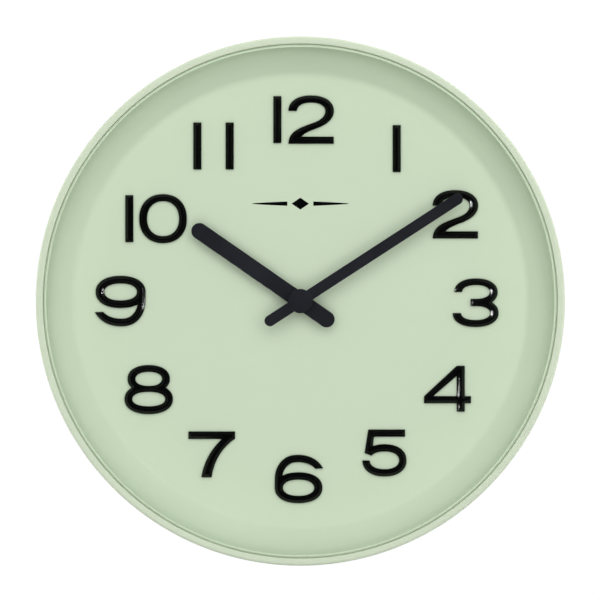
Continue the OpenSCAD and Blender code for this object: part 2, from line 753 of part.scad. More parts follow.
module minute_wheel() {
    color([0.90, 0.88, 0.80]) stand() translate(concat(minute_at, [0])) {
        rotate(minute_tooth) wheel(minute_n, work_m, plate_top + 0.4, plate_top + 1.6);
        rotate(minute_pinion_tooth)
            pinion(minute_pinion_n, hour_m, plate_top + 1.6 - eps, move_in_front - 0.1);
        rod(pivot_r, plate_z + 0.1, plate_top + 0.4 + eps);
        rod(pivot_r, move_in_front - 0.1 - eps, move_in_front + 0.5);
    }
}

module hour_wheel() {
    color([0.90, 0.88, 0.80]) stand() difference() {
        union() {
            rotate(hour_tooth) wheel(hour_n, hour_m, plate_top + 2.2, plate_top + 3.2);
            rod(pipe_r, plate_top + 2.2, pipe_top);
        }
        rod(arbor_r + run_gap, plate_top + 1, pipe_top + 1);
    }
}

module setting_knob() {
    knob_z = move_back_z - 0.2;
    knob_low = 2.7;
    color([0.90, 0.88, 0.80]) stand() translate(concat(knob_at, [0])) {
        difference() {
            rod(knob_d / 2, knob_low, knob_z);
            // finger grooves round the edge
            for (a = [0 : 20 : 340]) rotate(a) rod(0.6, knob_low - 1, knob_z + 1, [knob_d / 2 + 0.2, 0]);
            translate([0, 0, knob_low - 1]) cylinder(r = knob_d / 2 - 2, h = 1.4);
        }
        rod(arbor_r, knob_z - eps, plate_top + 0.4 + eps);
        rotate(knob_tooth) pinion(knob_n, work_m, plate_top + 0.4, plate_top + 1.6);
        rod(pivot_r, plate_top + 1.6 - eps, move_in_front + 0.5);
    }
}

// ---------- drive train ----------

centre_m = module_of(train_c, centre_n, third_pinion_n);
third_m = module_of(train_c, third_n, second_pinion_n);
second_m = module_of(mid_c, second_n, mid_pinion_n);
mid_m = module_of(rotor_c, mid_n, rotor_n);
centre_tooth = 0;
third_pinion_tooth = mesh_turn(centre_n, centre_tooth, third_pinion_n, 180);
third_tooth = 0;
second_pinion_tooth = mesh_turn(third_n, third_tooth, second_pinion_n, 0);
second_tooth = 0;
mid_pinion_tooth = mesh_turn(second_n, second_tooth, mid_pinion_n, mid_dir);
mid_tooth = 0;
rotor_tooth = mesh_turn(mid_n, mid_tooth, rotor_n, 0);

centre_z = [13.6, 14.6];
third_z = [11.9, 12.7];
second_z = [9.9, 10.7];
mid_z = [8.2, 9];

module centre_wheel() {
    color([0.92, 0.92, 0.88]) stand() difference() {
        union() {
            rotate(centre_tooth) wheel(centre_n, centre_m, centre_z[0], centre_z[1]);
            rod(2.4, centre_z[0], plate_z - 0.2);
        }
        rod(lower_arbor_r + 0.03, centre_z[0] - 1, plate_z + 1);
    }
}

module third_wheel() {
    color([0.92, 0.92, 0.88]) stand() translate(concat(third_at, [0])) {
        rotate(third_tooth) wheel(third_n, third_m, third_z[0], third_z[1]);
        rod(1.4, third_z[1] - eps, centre_z[0] - 0.2 + eps);
        rotate(third_pinion_tooth) pinion(third_pinion_n, centre_m, centre_z[0] - 0.2, centre_z[1] + 0.2);
        rod(pivot_r, centre_z[1] + 0.2 - eps, plate_z + 0.6);
        rod(1, move_in_back + 1, third_z[0] + eps);
        rod(pivot_r, move_in_back - 0.2, move_in_back + 1 + eps);
    }
}

module second_wheel() {
    color([0.92, 0.92, 0.88]) stand() {
        rotate(second_tooth) wheel(second_n, second_m, second_z[0], second_z[1]);
        rod(1, second_z[1] - eps, third_z[0] - 0.2 + eps);
        rotate(second_pinion_tooth) pinion(second_pinion_n, third_m, third_z[0] - 0.2, third_z[1] + 0.2);
        rod(pivot_r, third_z[1] + 0.2 - eps, arbor_low + 0.9);
        rod(1, move_in_back + 2.4, second_z[0] + eps);
        rod(pivot_r, move_in_back + 0.5, move_in_back + 2.4 + eps);
    }
}

module intermediate_wheel() {
    color([0.92, 0.92, 0.88]) stand() translate(concat(mid_at, [0])) {
        rotate(mid_tooth) wheel(mid_n, mid_m, mid_z[0], mid_z[1]);
        rod(1.2, mid_z[1] - eps, second_z[0] - 0.2 + eps);
        rotate(mid_pinion_tooth) pinion(mid_pinion_n, second_m, second_z[0] - 0.2, second_z[1] + 0.2);
        rod(pivot_r, second_z[1] + 0.2 - eps, plate_z + 0.6);
        rod(pivot_r, move_in_back - 0.2, mid_z[0] + eps);
    }
}

module rotor() {
    color([0.35, 0.35, 0.38]) stand() translate(concat(rotor_at, [0])) {
        rod(3, 10.2, 13);
        rod(0.9, mid_z[1] + 0.2 - eps, 10.2 + eps);
        rotate(rotor_tooth) pinion(rotor_n, mid_m, mid_z[0] - 0.2, mid_z[1] + 0.2);
        rod(0.4, 13 - eps, plate_z + 0.6);
        rod(0.4, move_in_back - 0.2, mid_z[0] - 0.2 + eps);
    }
}

// ---------- motor and electronics ----------

core_w = 3;
stator_z = [11.2, 12];
stator_x = [14, 18.6];                     // upright part of the core beside the rotor
stator_y = [-6, 21];
stator_arm = 2.5;                          // width of the arms to the coil
pole_r = 3.4;                              // hole the rotor turns in
pole_w = 4.6;                              // half height of the pole plate
bobbin_y = [stator_y[0] + stator_arm + 0.1, stator_y[1] - stator_arm - 0.1];

module stator() {
    color([0.70, 0.72, 0.74]) stand() difference() {
        union() {
            // pole plate round the rotor, with an arm above and below to the coil core
            block([rotor_at.x - pole_w, rotor_at.y - pole_w, stator_z[0]],
                [rotor_at.x + pole_w - 1, rotor_at.y + pole_w, stator_z[1]]);
            block([stator_x[0], stator_y[0], stator_z[0]], [stator_x[1], stator_y[1], stator_z[1]]);
            for (y = [stator_y[0], stator_y[1] - stator_arm])
                block([stator_x[0], y, stator_z[0]],
                    [coil_x + core_w / 2, y + stator_arm, stator_z[1]]);
            block([coil_x - core_w / 2, stator_y[0], stator_z[0]],
                [coil_x + core_w / 2, stator_y[1], stator_z[1]]);
        }
        rod(pole_r, stator_z[0] - 1, stator_z[1] + 1, rotor_at);
    }
}

module coil_bobbin() {
    z = (stator_z[0] + stator_z[1]) / 2;
    color([0.92, 0.90, 0.82]) stand() difference() {
        union() {
            block([coil_x - 2.1, bobbin_y[0], z - 1], [coil_x + 2.1, bobbin_y[1], z + 1]);
            for (y = [bobbin_y[0], bobbin_y[1] - 0.8])
                block([coil_x - 2.9, y, z - 2.9], [coil_x + 2.9, y + 0.8, z + 2.9]);
        }
        block([coil_x - core_w / 2 - 0.02, bobbin_y[0] - 1, stator_z[0] - 0.02],
            [coil_x + core_w / 2 + 0.02, bobbin_y[1] + 1, stator_z[1] + 0.02]);
    }
}

module coil_winding() {
    z = (stator_z[0] + stator_z[1]) / 2;
    color([0.72, 0.38, 0.20]) stand() difference() {
        block([coil_x - 2.7, bobbin_y[0] + 0.8, z - 2.5], [coil_x + 2.7, bobbin_y[1] - 0.8, z + 2.5]);
        block([coil_x - 2.1, bobbin_y[0], z - 1], [coil_x + 2.1, bobbin_y[1], z + 1]);
    }
}

board_z = 9.5;
board_t = 1;
board_x = [-half_in + 0.4, 13.6];
board_y = [18, half_in - 0.4];

module circuit_board() {
    color([0.16, 0.42, 0.24]) stand() difference() {
        block([board_x[0], board_y[0], board_z], [board_x[1], board_y[1], board_z + board_t]);
        rod(post_r + 0.2, board_z - 1, board_z + board_t + 1, posts[0]);
    }
}

module crystal() {
    color([0.80, 0.81, 0.83]) stand()
        translate([-6, 23, board_z + board_t + 1]) rotate([0, 90, 0]) cylinder(r = 1, h = 6);
}

module ic_chip() {
    top = board_z + board_t;
    color([0.08, 0.08, 0.09]) stand() {
        block([-18, 20, top], [-12, 24.5, top + 1.2]);
    }
}

strip_t = 0.4;
strip_z = [7.4, board_z];

module contact_positive() {
    color([0.82, 0.80, 0.72]) stand() {
        // pad, run along the side wall and the top wall, tongue under the board
        block([half_in - strip_t, cell_y - 5, cell_z - 4.5], [half_in, cell_y + 5, cell_z + 4.5]);
        rod_x(2.2, cap_x + 0.02, half_in - strip_t + eps);
        block([half_in - strip_t, cell_y - 2, strip_z[0]], [half_in, half_in, strip_z[1]]);
        block([8, half_in - strip_t, strip_z[0]], [half_in, half_in, strip_z[1]]);
        block([8, half_in - 3, strip_z[1] - strip_t], [11, half_in, strip_z[1]]);
    }
}

// cylinder along x on the battery's axis
module rod_x(r, x0, x1) {
    translate([x0, cell_y, cell_z]) rotate([0, 90, 0]) cylinder(r = r, h = x1 - x0);
}

module contact_negative() {
    tip = cap_x - cell_l - 0.02;
    color([0.82, 0.80, 0.72]) stand() {
        block([-half_in, cell_y - 5, cell_z - 4.5], [-half_in + strip_t, cell_y + 5, cell_z + 4.5]);
        // leaf spring, bent out to the cell
        translate([0, 0, cell_z - 3]) linear_extrude(6) polygon([[-half_in, cell_y - 5],
            [-half_in + strip_t, cell_y - 5], [tip, cell_y - 0.8], [tip, cell_y + 0.8],
            [-half_in + strip_t + 0.3, cell_y + 4], [-half_in + strip_t, cell_y + 4],
            [tip - strip_t, cell_y + 0.4], [tip - strip_t, cell_y - 0.4], [-half_in + strip_t, cell_y - 4]]);
        block([-half_in, cell_y - 2, strip_z[0]], [-half_in + strip_t, 23, strip_z[1]]);
        block([-half_in, 20, strip_z[1] - strip_t], [-half_in + 4, 22, strip_z[1]]);
    }
}

// ---------- battery ----------

sleeve_t = 0.2;
cell_x = cap_x - cell_l;

module battery_cell() {
    color([0.80, 0.81, 0.83]) stand() {
        rod_x(cell_d / 2 - sleeve_t, cell_x, cap_x - cap_l);
        rod_x(cap_r, cap_x - cap_l - eps, cap_x);
    }
}

module battery_sleeve() {
    color([0.20, 0.40, 0.62]) stand() difference() {
        rod_x(cell_d / 2, cell_x + 0.4, cap_x - cap_l - 0.1);
        rod_x(cell_d / 2 - sleeve_t, cell_x - 1, cap_x + 1);
    }
}

// ---------- one line for each node ----------

case_ring();
dial();
rear_cover();
cover_screws();
dial_screws();
hanger_plate();
hanger_screws();
numeral_1();
numeral_2();
numeral_3();
numeral_4();
numeral_5();
numeral_6();
numeral_7();
numeral_8();
numeral_9();
numeral_10();
numeral_11();
numeral_12();
hour_hand();
minute_hand();
movement_front();
movement_back();
middle_plate();
threaded_bush();
bush_washer();
bush_nut();
gasket();
hour_wheel();
minute_wheel();
minute_arbor();
setting_knob();
centre_wheel();
third_wheel();
second_wheel();
intermediate_wheel();
rotor();
stator();
coil_bobbin();
coil_winding();
circuit_board();
crystal();
ic_chip();
contact_positive();
contact_negative();
battery_cell();
battery_sleeve();
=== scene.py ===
"""Looks of a round wall clock with raised numerals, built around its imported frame.

Lengths in the classes are millimetres in clock coordinates: x to the right, y up the dial and
z out of the wall, from the point where the axis of the hands meets the wall. Meshes are written
in metres in the frame's own coordinates (x, -z, y).
"""
import sys
import json
import logging
import math
from dataclasses import dataclass
from enum import Enum

import bmesh
import bpy
import numpy as np
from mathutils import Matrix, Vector
from mathutils.geometry import delaunay_2d_cdt

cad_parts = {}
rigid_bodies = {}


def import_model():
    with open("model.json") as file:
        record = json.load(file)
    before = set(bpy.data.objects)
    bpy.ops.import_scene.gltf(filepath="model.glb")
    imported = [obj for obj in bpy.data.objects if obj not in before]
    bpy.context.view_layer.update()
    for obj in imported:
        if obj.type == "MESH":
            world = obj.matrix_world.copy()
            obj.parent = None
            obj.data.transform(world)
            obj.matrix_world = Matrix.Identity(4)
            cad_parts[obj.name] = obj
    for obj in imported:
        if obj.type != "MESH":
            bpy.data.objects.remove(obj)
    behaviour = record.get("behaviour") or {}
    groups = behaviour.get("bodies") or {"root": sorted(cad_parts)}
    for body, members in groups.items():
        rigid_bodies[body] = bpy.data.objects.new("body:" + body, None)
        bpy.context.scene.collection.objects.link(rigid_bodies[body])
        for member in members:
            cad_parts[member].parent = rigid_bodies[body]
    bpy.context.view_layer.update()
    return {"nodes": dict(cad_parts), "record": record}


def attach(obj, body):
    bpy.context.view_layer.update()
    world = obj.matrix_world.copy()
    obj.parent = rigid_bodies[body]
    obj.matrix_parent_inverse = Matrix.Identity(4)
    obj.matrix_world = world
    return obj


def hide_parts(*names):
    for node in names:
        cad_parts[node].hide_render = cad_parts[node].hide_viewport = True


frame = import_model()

log = logging.getLogger("wall_clock")
MM = 0.001
SAME_POINT = 1e-8
CAD_WELD = 2e-6
SLIVER = 1e-6
Point = tuple[float, float]
Colour = tuple[float, float, float]


# ---------------------------------------------------------------- places and measures


class Body(Enum):
    """Bodies of the clock that the pieces ride on."""

    CASE = "case"
    MINUTE = "minute"
    HOUR = "hour"
    KNOB = "knob"
    BATTERY = "battery"


class Shows(Enum):
    """What a studio light acts on."""

    BOTH = "both"
    DIFFUSE = "diffuse"
    GLOSS = "gloss"


def world(x: float, y: float, z: float) -> tuple[float, float, float]:
    """Turn clock coordinates in millimetres into frame coordinates in metres."""
    return (x * MM, -z * MM, y * MM)


def srgb(red: float, green: float, blue: float) -> Colour:
    """Turn a colour on the 0 to 255 display scale into linear light.

    Args:
        red: red on the display scale.
        green: green on the display scale.
        blue: blue on the display scale.

    Returns:
        The three linear values.
    """
    return tuple(
        value / 12.92 if value <= 0.04045 else ((value + 0.055) / 1.055) ** 2.4
        for value in (red / 255, green / 255, blue / 255)
    )


def mix(a: Colour, b: Colour, share: float) -> Colour:
    """Blend two colours, with share of the second."""
    return tuple(p * (1 - share) + q * share for p, q in zip(a, b))


def scaled(colour: Colour, factor: float) -> Colour:
    """Make a colour lighter or darker by a factor."""
    return tuple(min(1.0, c * factor) for c in colour)


# ---------------------------------------------------------------- finishes


class Recipe:
    """A material's node tree, with short calls that add and join its nodes."""

    def __init__(self, name: str) -> None:
        """Start an empty material with a Principled shader.

        Args:
            name: name of the material.
        """
        self.material = bpy.data.materials.new(name)
        self.material.use_nodes = True
        self.tree = self.material.node_tree
        self.tree.nodes.clear()
        self.shader = self.add("ShaderNodeBsdfPrincipled")
        output = self.add("ShaderNodeOutputMaterial")
        self.join(self.shader, "BSDF", output, "Surface")
        self.place = self.add("ShaderNodeTexCoord")

    def add(self, kind: str, **values: object) -> bpy.types.Node:
        """Add a node.

        Args:
            kind: Blender's name for the node.
            values: node properties by name, or input values with _ for a space.

        Returns:
            The new node.
        """
        node = self.tree.nodes.new(kind)
        for key, value in values.items():
            if hasattr(node, key) and key not in node.inputs:
                setattr(node, key, value)
            else:
                node.inputs[key.replace("_", " ")].default_value = value
        return node

    def join(self, a: bpy.types.Node, out: str, b: bpy.types.Node, into: str | int) -> None:
        """Join an output of one node to an input of another."""
        self.tree.links.new(a.outputs[out], b.inputs[into])

    def mapped(self, scale: tuple[float, float, float], turn: float = 0.0) -> bpy.types.Node:
        """Give the piece's own coordinates, scaled and turned about the hands' axis.

        Args:
            scale: factor for each coordinate.
            turn: angle about the axis of the hands, in radians.

        Returns:
            A Mapping node whose Vector output is read.
        """
        node = self.add("ShaderNodeMapping")
        node.inputs["Scale"].default_value = scale
        node.inputs["Rotation"].default_value = (0.0, turn, 0.0)
        self.join(self.place, "Object", node, "Vector")
        return node

    def noise(self, scale: float, detail: float = 4.0, rough: float = 0.55,
              source: bpy.types.Node | None = None) -> bpy.types.Node:
        """Add a noise texture on the piece's own coordinates.

        Args:
            scale: features per metre.
            detail: octaves.
            rough: how strong the finer octaves are.
            source: node whose Vector output is used, in place of plain coordinates.

        Returns:
            The noise node.
        """
        node = self.add("ShaderNodeTexNoise", Scale=scale, Detail=detail, Roughness=rough)
        if source is None:
            self.join(self.place, "Object", node, "Vector")
        else:
            self.join(source, "Vector", node, "Vector")
        return node

    def ramp(self, source: bpy.types.Node, out: str, low: float, high: float,
             first: float = 0.0, last: float = 1.0) -> bpy.types.Node:
        """Map a value's range onto another, clamped.

        Args:
            source: node that gives the value.
            out: name of its output.
            low: value that becomes first.
            high: value that becomes last.
            first: lowest result.
            last: highest result.

        Returns:
            A Map Range node whose Result output is read.
        """
        node = self.add("ShaderNodeMapRange", clamp=True)
        for key, value in (("From Min", low), ("From Max", high), ("To Min", first), ("To Max", last)):
            node.inputs[key].default_value = value
        self.join(source, out, node, "Value")
        return node

    def blend(self, share: bpy.types.Node, out: str, a: object, b: object) -> bpy.types.Node:
        """Mix two colours by a node's value.

        Args:
            share: node whose value picks the second colour.
            out: name of that node's output.
            a: first colour, or a node that gives one.
            b: second colour, or a node that gives one.

        Returns:
            A Mix node whose Result output is at position 2.
        """
        node = self.add("ShaderNodeMix", data_type="RGBA", clamp_factor=True)
        self.join(share, out, node, 0)
        for value, socket in ((a, node.inputs[6]), (b, node.inputs[7])):
            if isinstance(value, bpy.types.Node):
                self.tree.links.new(self.colour_of(value), socket)
            else:
                socket.default_value = (*value, 1.0)
        return node

    @staticmethod
    def colour_of(node: bpy.types.Node) -> bpy.types.NodeSocket:
        """Give the colour output of a node."""
        return node.outputs[2] if node.bl_idname == "ShaderNodeMix" else node.outputs["Color"]

    def product(self, a: bpy.types.Node, a_out: str, b: bpy.types.Node, b_out: str) -> bpy.types.Node:
        """Multiply two values.

        Args:
            a: node that gives the first value.
            a_out: name of its output.
            b: node that gives the second value.
            b_out: name of its output.

        Returns:
            A Math node whose Value output is read.
        """
        node = self.add("ShaderNodeMath", operation="MULTIPLY")
        self.join(a, a_out, node, 0)
        self.join(b, b_out, node, 1)
        return node

    def bump(self, source: bpy.types.Node, out: str, height: float, strength: float = 1.0,
             under: bpy.types.Node | None = None) -> bpy.types.Node:
        """Add a bump from a value.

        Args:
            source: node that gives the height.
            out: name of its output.
            height: depth of the relief in metres.
            strength: share of the bump that is used.
            under: another bump that lies under this one.

        Returns:
            The bump node.
        """
        node = self.add("ShaderNodeBump", Distance=height, Strength=strength)
        self.join(source, out, node, "Height")
        if under is not None:
            self.join(under, "Normal", node, "Normal")
        return node

    def finish(self, colour: bpy.types.Node, roughness: bpy.types.Node,
               relief: bpy.types.Node, **constants: float) -> bpy.types.Material:
        """Join the three main parts to the shader and set its constants.

        Args:
            colour: node that gives the colour.
            roughness: node whose Result output gives the roughness.
            relief: bump node.
            constants: values set on the shader's own sockets, with _ for a space.

        Returns:
            The finished material.
        """
        self.tree.links.new(self.colour_of(colour), self.shader.inputs["Base Color"])
        self.join(roughness, "Result", self.shader, "Roughness")
        self.join(relief, "Normal", self.shader, "Normal")
        for key, value in constants.items():
            self.shader.inputs[key.replace("_", " ")].default_value = value
        return self.material


RAW_PLASTIC: Colour = (0.86, 0.86, 0.84)
# Brown tint of the painted shade in the plastic's hollows.
HOLLOW_SHADE_TINT: Colour = (0.30, 0.28, 0.22)
DUST: Colour = (0.22, 0.22, 0.20)
BLOOM: Colour = (0.25, 0.25, 0.24)
SCUFF: Colour = (0.30, 0.30, 0.30)
PALE_INK: Colour = (0.75, 0.75, 0.72)
BARE_METAL: Colour = (0.55, 0.54, 0.52)


@dataclass(frozen=True)
class MouldedPlastic:
    """Injection-moulded plastic: flow marks, a fine texture, handling marks, worn edges, painted shade in the
    hollows.
    """

    name: str
    colour: Colour
    roughness: float = 0.38
    mottle: float = 0.05
    grain: float = 900.0
    grain_depth: float = 0.00002
    wear: float = 0.25
    hollow_shade: float = 0.25
    specular: float = 0.5

    def make(self) -> bpy.types.Material:
        """Build the material.

        Returns:
            The finished material.
        """
        r = Recipe(self.name)
        flow = r.noise(scale=7.0, detail=3.0, rough=0.5)
        cloud = r.noise(scale=38.0, detail=5.0, rough=0.6)
        tone = r.ramp(r.product(flow, "Fac", cloud, "Fac"), "Value", low=0.12, high=0.40)
        dark, light = scaled(self.colour, 1 - self.mottle), scaled(self.colour, 1 + 0.6 * self.mottle)
        body = r.blend(tone, "Result", dark, light)
        shape = r.add("ShaderNodeNewGeometry")
        edge = r.ramp(shape, "Pointiness", low=0.515, high=0.60, last=self.wear)
        worn = r.blend(edge, "Result", body, mix(self.colour, RAW_PLASTIC, 0.6))
        # Painted shade: concave hollows are darkened and tinted brown.
        hollow_shade_mask = r.ramp(shape, "Pointiness", low=0.49, high=0.42, last=self.hollow_shade)
        shaded_hollows = r.blend(hollow_shade_mask, "Result", worn, mix(scaled(self.colour, 0.6), HOLLOW_SHADE_TINT, 0.4))
        rub = r.noise(scale=24.0, detail=6.0, rough=0.65)
        rough = r.ramp(rub, "Fac", 0.3, 0.7, self.roughness - 0.07, self.roughness + 0.08)
        texture = r.noise(scale=self.grain, detail=2.0, rough=0.5)
        fine = r.bump(texture, "Fac", height=self.grain_depth, strength=0.9)
        sag = r.bump(cloud, "Fac", height=0.00004, strength=0.35, under=fine)
        return r.finish(shaded_hollows, rough, sag, Specular_IOR_Level=self.specular)


@dataclass(frozen=True)
class GlossBlack:
    """Gloss black moulding of the numerals: nearly smooth, with hair scratches and a little dust."""

    name: str
    colour: Colour
    roughness: float = 0.19
    specular: float = 0.2

    def make(self) -> bpy.types.Material:
        """Build the material.

        Returns:
            The finished material.
        """
        r = Recipe(self.name)
        cloud = r.noise(scale=60.0, detail=5.0, rough=0.6)
        tone = r.ramp(cloud, "Fac", low=0.35, high=0.68)
        body = r.blend(tone, "Result", scaled(self.colour, 0.85), scaled(self.colour, 1.25))
        specks = r.noise(scale=2600.0, detail=2.0, rough=0.5)
        speck = r.ramp(specks, "Fac", low=0.74, high=0.80, last=0.25)
        dusty = r.blend(speck, "Result", body, DUST)
        rub = r.noise(scale=45.0, detail=6.0, rough=0.7)
        rough = r.ramp(rub, "Fac", 0.3, 0.72, self.roughness - 0.04, self.roughness + 0.09)
        hair = r.noise(scale=420.0, detail=3.0, rough=0.6, source=r.mapped((1.0, 1.0, 14.0), turn=0.6))
        scratches = r.bump(hair, "Fac", height=0.000006, strength=0.5)
        ripple = r.bump(cloud, "Fac", height=0.00003, strength=0.3, under=scratches)
        return r.finish(dusty, rough, ripple, Specular_IOR_Level=self.specular)


@dataclass(frozen=True)
class MattePaint:
    """Matte paint on thin metal: fine speckle, chips along the edges."""

    name: str
    colour: Colour
    bare: Colour = BARE_METAL
    roughness: float = 0.55
    chips: float = 0.3
    specular: float = 0.4

    def make(self) -> bpy.types.Material:
        """Build the material.

        Returns:
            The finished material.
        """
        r = Recipe(self.name)
        cloud = r.noise(scale=50.0, detail=5.0, rough=0.6)
        tone = r.ramp(cloud, "Fac", low=0.32, high=0.7)
        body = r.blend(tone, "Result", scaled(self.colour, 0.88), scaled(self.colour, 1.18))
        speckle = r.noise(scale=3200.0, detail=3.0, rough=0.6)
        shape = r.add("ShaderNodeNewGeometry")
        edge = r.ramp(shape, "Pointiness", low=0.53, high=0.62, last=self.chips)
        patches = r.ramp(r.noise(scale=500.0, detail=3.0), "Fac", low=0.5, high=0.62)
        broken = r.product(edge, "Result", patches, "Result")
        worn = r.blend(broken, "Value", body, self.bare)
        rough = r.ramp(cloud, "Fac", 0.3, 0.7, self.roughness - 0.06, self.roughness + 0.07)
        texture = r.bump(speckle, "Fac", height=0.000012, strength=0.8)
        return r.finish(worn, rough, texture, Specular_IOR_Level=self.specular)


@dataclass(frozen=True)
class Metal:
    """Bare or plated metal: drawn or turned marks, tarnish, scratches."""

    name: str
    colour: Colour
    tarnish: Colour
    roughness: float = 0.3
    stretch: tuple[float, float, float] = (1.0, 1.0, 12.0)
    grain: float = 500.0
    stain: float = 0.3

    def make(self) -> bpy.types.Material:
        """Build the material.

        Returns:
            The finished material.
        """
        r = Recipe(self.name)
        cloud = r.noise(scale=140.0, detail=5.0, rough=0.62)
        tone = r.ramp(cloud, "Fac", low=0.42, high=0.72, last=self.stain)
        body = r.blend(tone, "Result", self.colour, self.tarnish)
        drawn = r.noise(scale=self.grain, detail=4.0, rough=0.6, source=r.mapped(self.stretch))
        streak = r.ramp(drawn, "Fac", low=0.3, high=0.7, last=0.25)
        lined = r.blend(streak, "Result", body, scaled(self.colour, 0.72))
        rough = r.ramp(drawn, "Fac", 0.3, 0.72, self.roughness - 0.07, self.roughness + 0.12)
        marks = r.bump(drawn, "Fac", height=0.000012, strength=0.7)
        return r.finish(lined, rough, marks, Metallic=1.0)


@dataclass(frozen=True)
class Rubber:
    """Soft black rubber with a powdery bloom."""

    name: str
    colour: Colour

    def make(self) -> bpy.types.Material:
        """Build the material.

        Returns:
            The finished material.
        """
        r = Recipe(self.name)
        cloud = r.noise(scale=120.0, detail=5.0, rough=0.65)
        tone = r.ramp(cloud, "Fac", low=0.4, high=0.75)
        body = r.blend(tone, "Result", self.colour, mix(self.colour, BLOOM, 0.3))
        rough = r.ramp(cloud, "Fac", 0.3, 0.7, 0.72, 0.9)
        powder = r.bump(r.noise(scale=1800.0), "Fac", height=0.00002, strength=0.8)
        return r.finish(body, rough, powder)


@dataclass(frozen=True)
class Winding:
    """Enamelled wire wound side by side: fine ridges across the coil, with painted shade darkening each turn
    towards its grooves.
    """

    name: str
    colour: Colour
    pitch: float = 0.00035
    band_at_scale_one: float = 0.314

    def make(self) -> bpy.types.Material:
        """Build the material.

        Returns:
            The finished material.
        """
        r = Recipe(self.name)
        turns = r.add("ShaderNodeTexWave", wave_type="BANDS", bands_direction="Z",
                      Scale=self.band_at_scale_one / self.pitch, Distortion=0.6, Detail=1.0)
        r.join(r.place, "Object", turns, "Vector")
        tone = r.ramp(turns, "Fac", low=0.0, high=1.0)
        # Painted shade: each turn's colour darkens towards the groove between turns.
        body = r.blend(tone, "Result", scaled(self.colour, 0.45), self.colour)
        rough = r.ramp(r.noise(scale=300.0), "Fac", 0.3, 0.7, 0.22, 0.36)
        ridges = r.bump(turns, "Fac", height=0.00008, strength=0.9)
        return r.finish(body, rough, ridges, Metallic=0.85)


@dataclass(frozen=True)
class Board:
    """Solder-masked circuit board with its conductors showing as lighter lines."""

    name: str
    colour: Colour
    line: Colour

    def make(self) -> bpy.types.Material:
        """Build the material.

        Returns:
            The finished material.
        """
        r = Recipe(self.name)
        grid = r.add("ShaderNodeTexBrick", Scale=90.0, offset=0.37, offset_frequency=2,
                     squash=0.6, squash_frequency=3)
        grid.inputs["Mortar Size"].default_value = 0.035
        for socket, colour in (("Color1", self.colour), ("Color2", scaled(self.colour, 0.9)),
                               ("Mortar", self.line)):
            grid.inputs[socket].default_value = (*colour, 1.0)
        turned = r.add("ShaderNodeMapping")
        turned.inputs["Rotation"].default_value = (math.pi / 2, 0.0, 0.0)
        r.join(r.place, "Object", turned, "Vector")
        r.join(turned, "Vector", grid, "Vector")
        cloud = r.noise(scale=200.0)
        tone = r.ramp(cloud, "Fac", low=0.3, high=0.7, last=0.2)
        body = r.blend(tone, "Result", grid, scaled(self.colour, 0.6))
        rough = r.ramp(cloud, "Fac", 0.3, 0.7, 0.25, 0.4)
        tracks = r.bump(grid, "Fac", height=0.00003, strength=0.6)
        return r.finish(body, rough, tracks)


@dataclass(frozen=True)
class CellWrap:
    """Printed sleeve of a dry cell: a plain dark body, a pale line and a wide band at the cap end.

    The band's place and the line's width are millimetres along the cell.
    """

    name: str
    body: Colour
    band: Colour
    band_from: float
    line_width: float = 0.7
    blur: float = 0.04

    def make(self) -> bpy.types.Material:
        """Build the material.

        Returns:
            The finished material.
        """
        r = Recipe(self.name)
        split = r.add("ShaderNodeSeparateXYZ")
        r.join(r.place, "Object", split, "Vector")
        edge, line = self.band_from * MM, (self.band_from - self.line_width) * MM
        is_band = r.ramp(split, "X", low=edge, high=edge + self.blur * MM)
        in_line = r.ramp(split, "X", low=line, high=line + self.blur * MM)
        low = r.blend(in_line, "Result", self.body, PALE_INK)
        ink = r.blend(is_band, "Result", low, self.band)
        cloud = r.noise(scale=90.0, detail=5.0, rough=0.6)
        tone = r.ramp(cloud, "Fac", low=0.3, high=0.75, last=0.12)
        dull = r.blend(tone, "Result", ink, SCUFF)
        rough = r.ramp(cloud, "Fac", 0.3, 0.7, 0.2, 0.34)
        ripple = r.bump(cloud, "Fac", height=0.00003, strength=0.4)
        return r.finish(dull, rough, ripple, Coat_Weight=0.4)


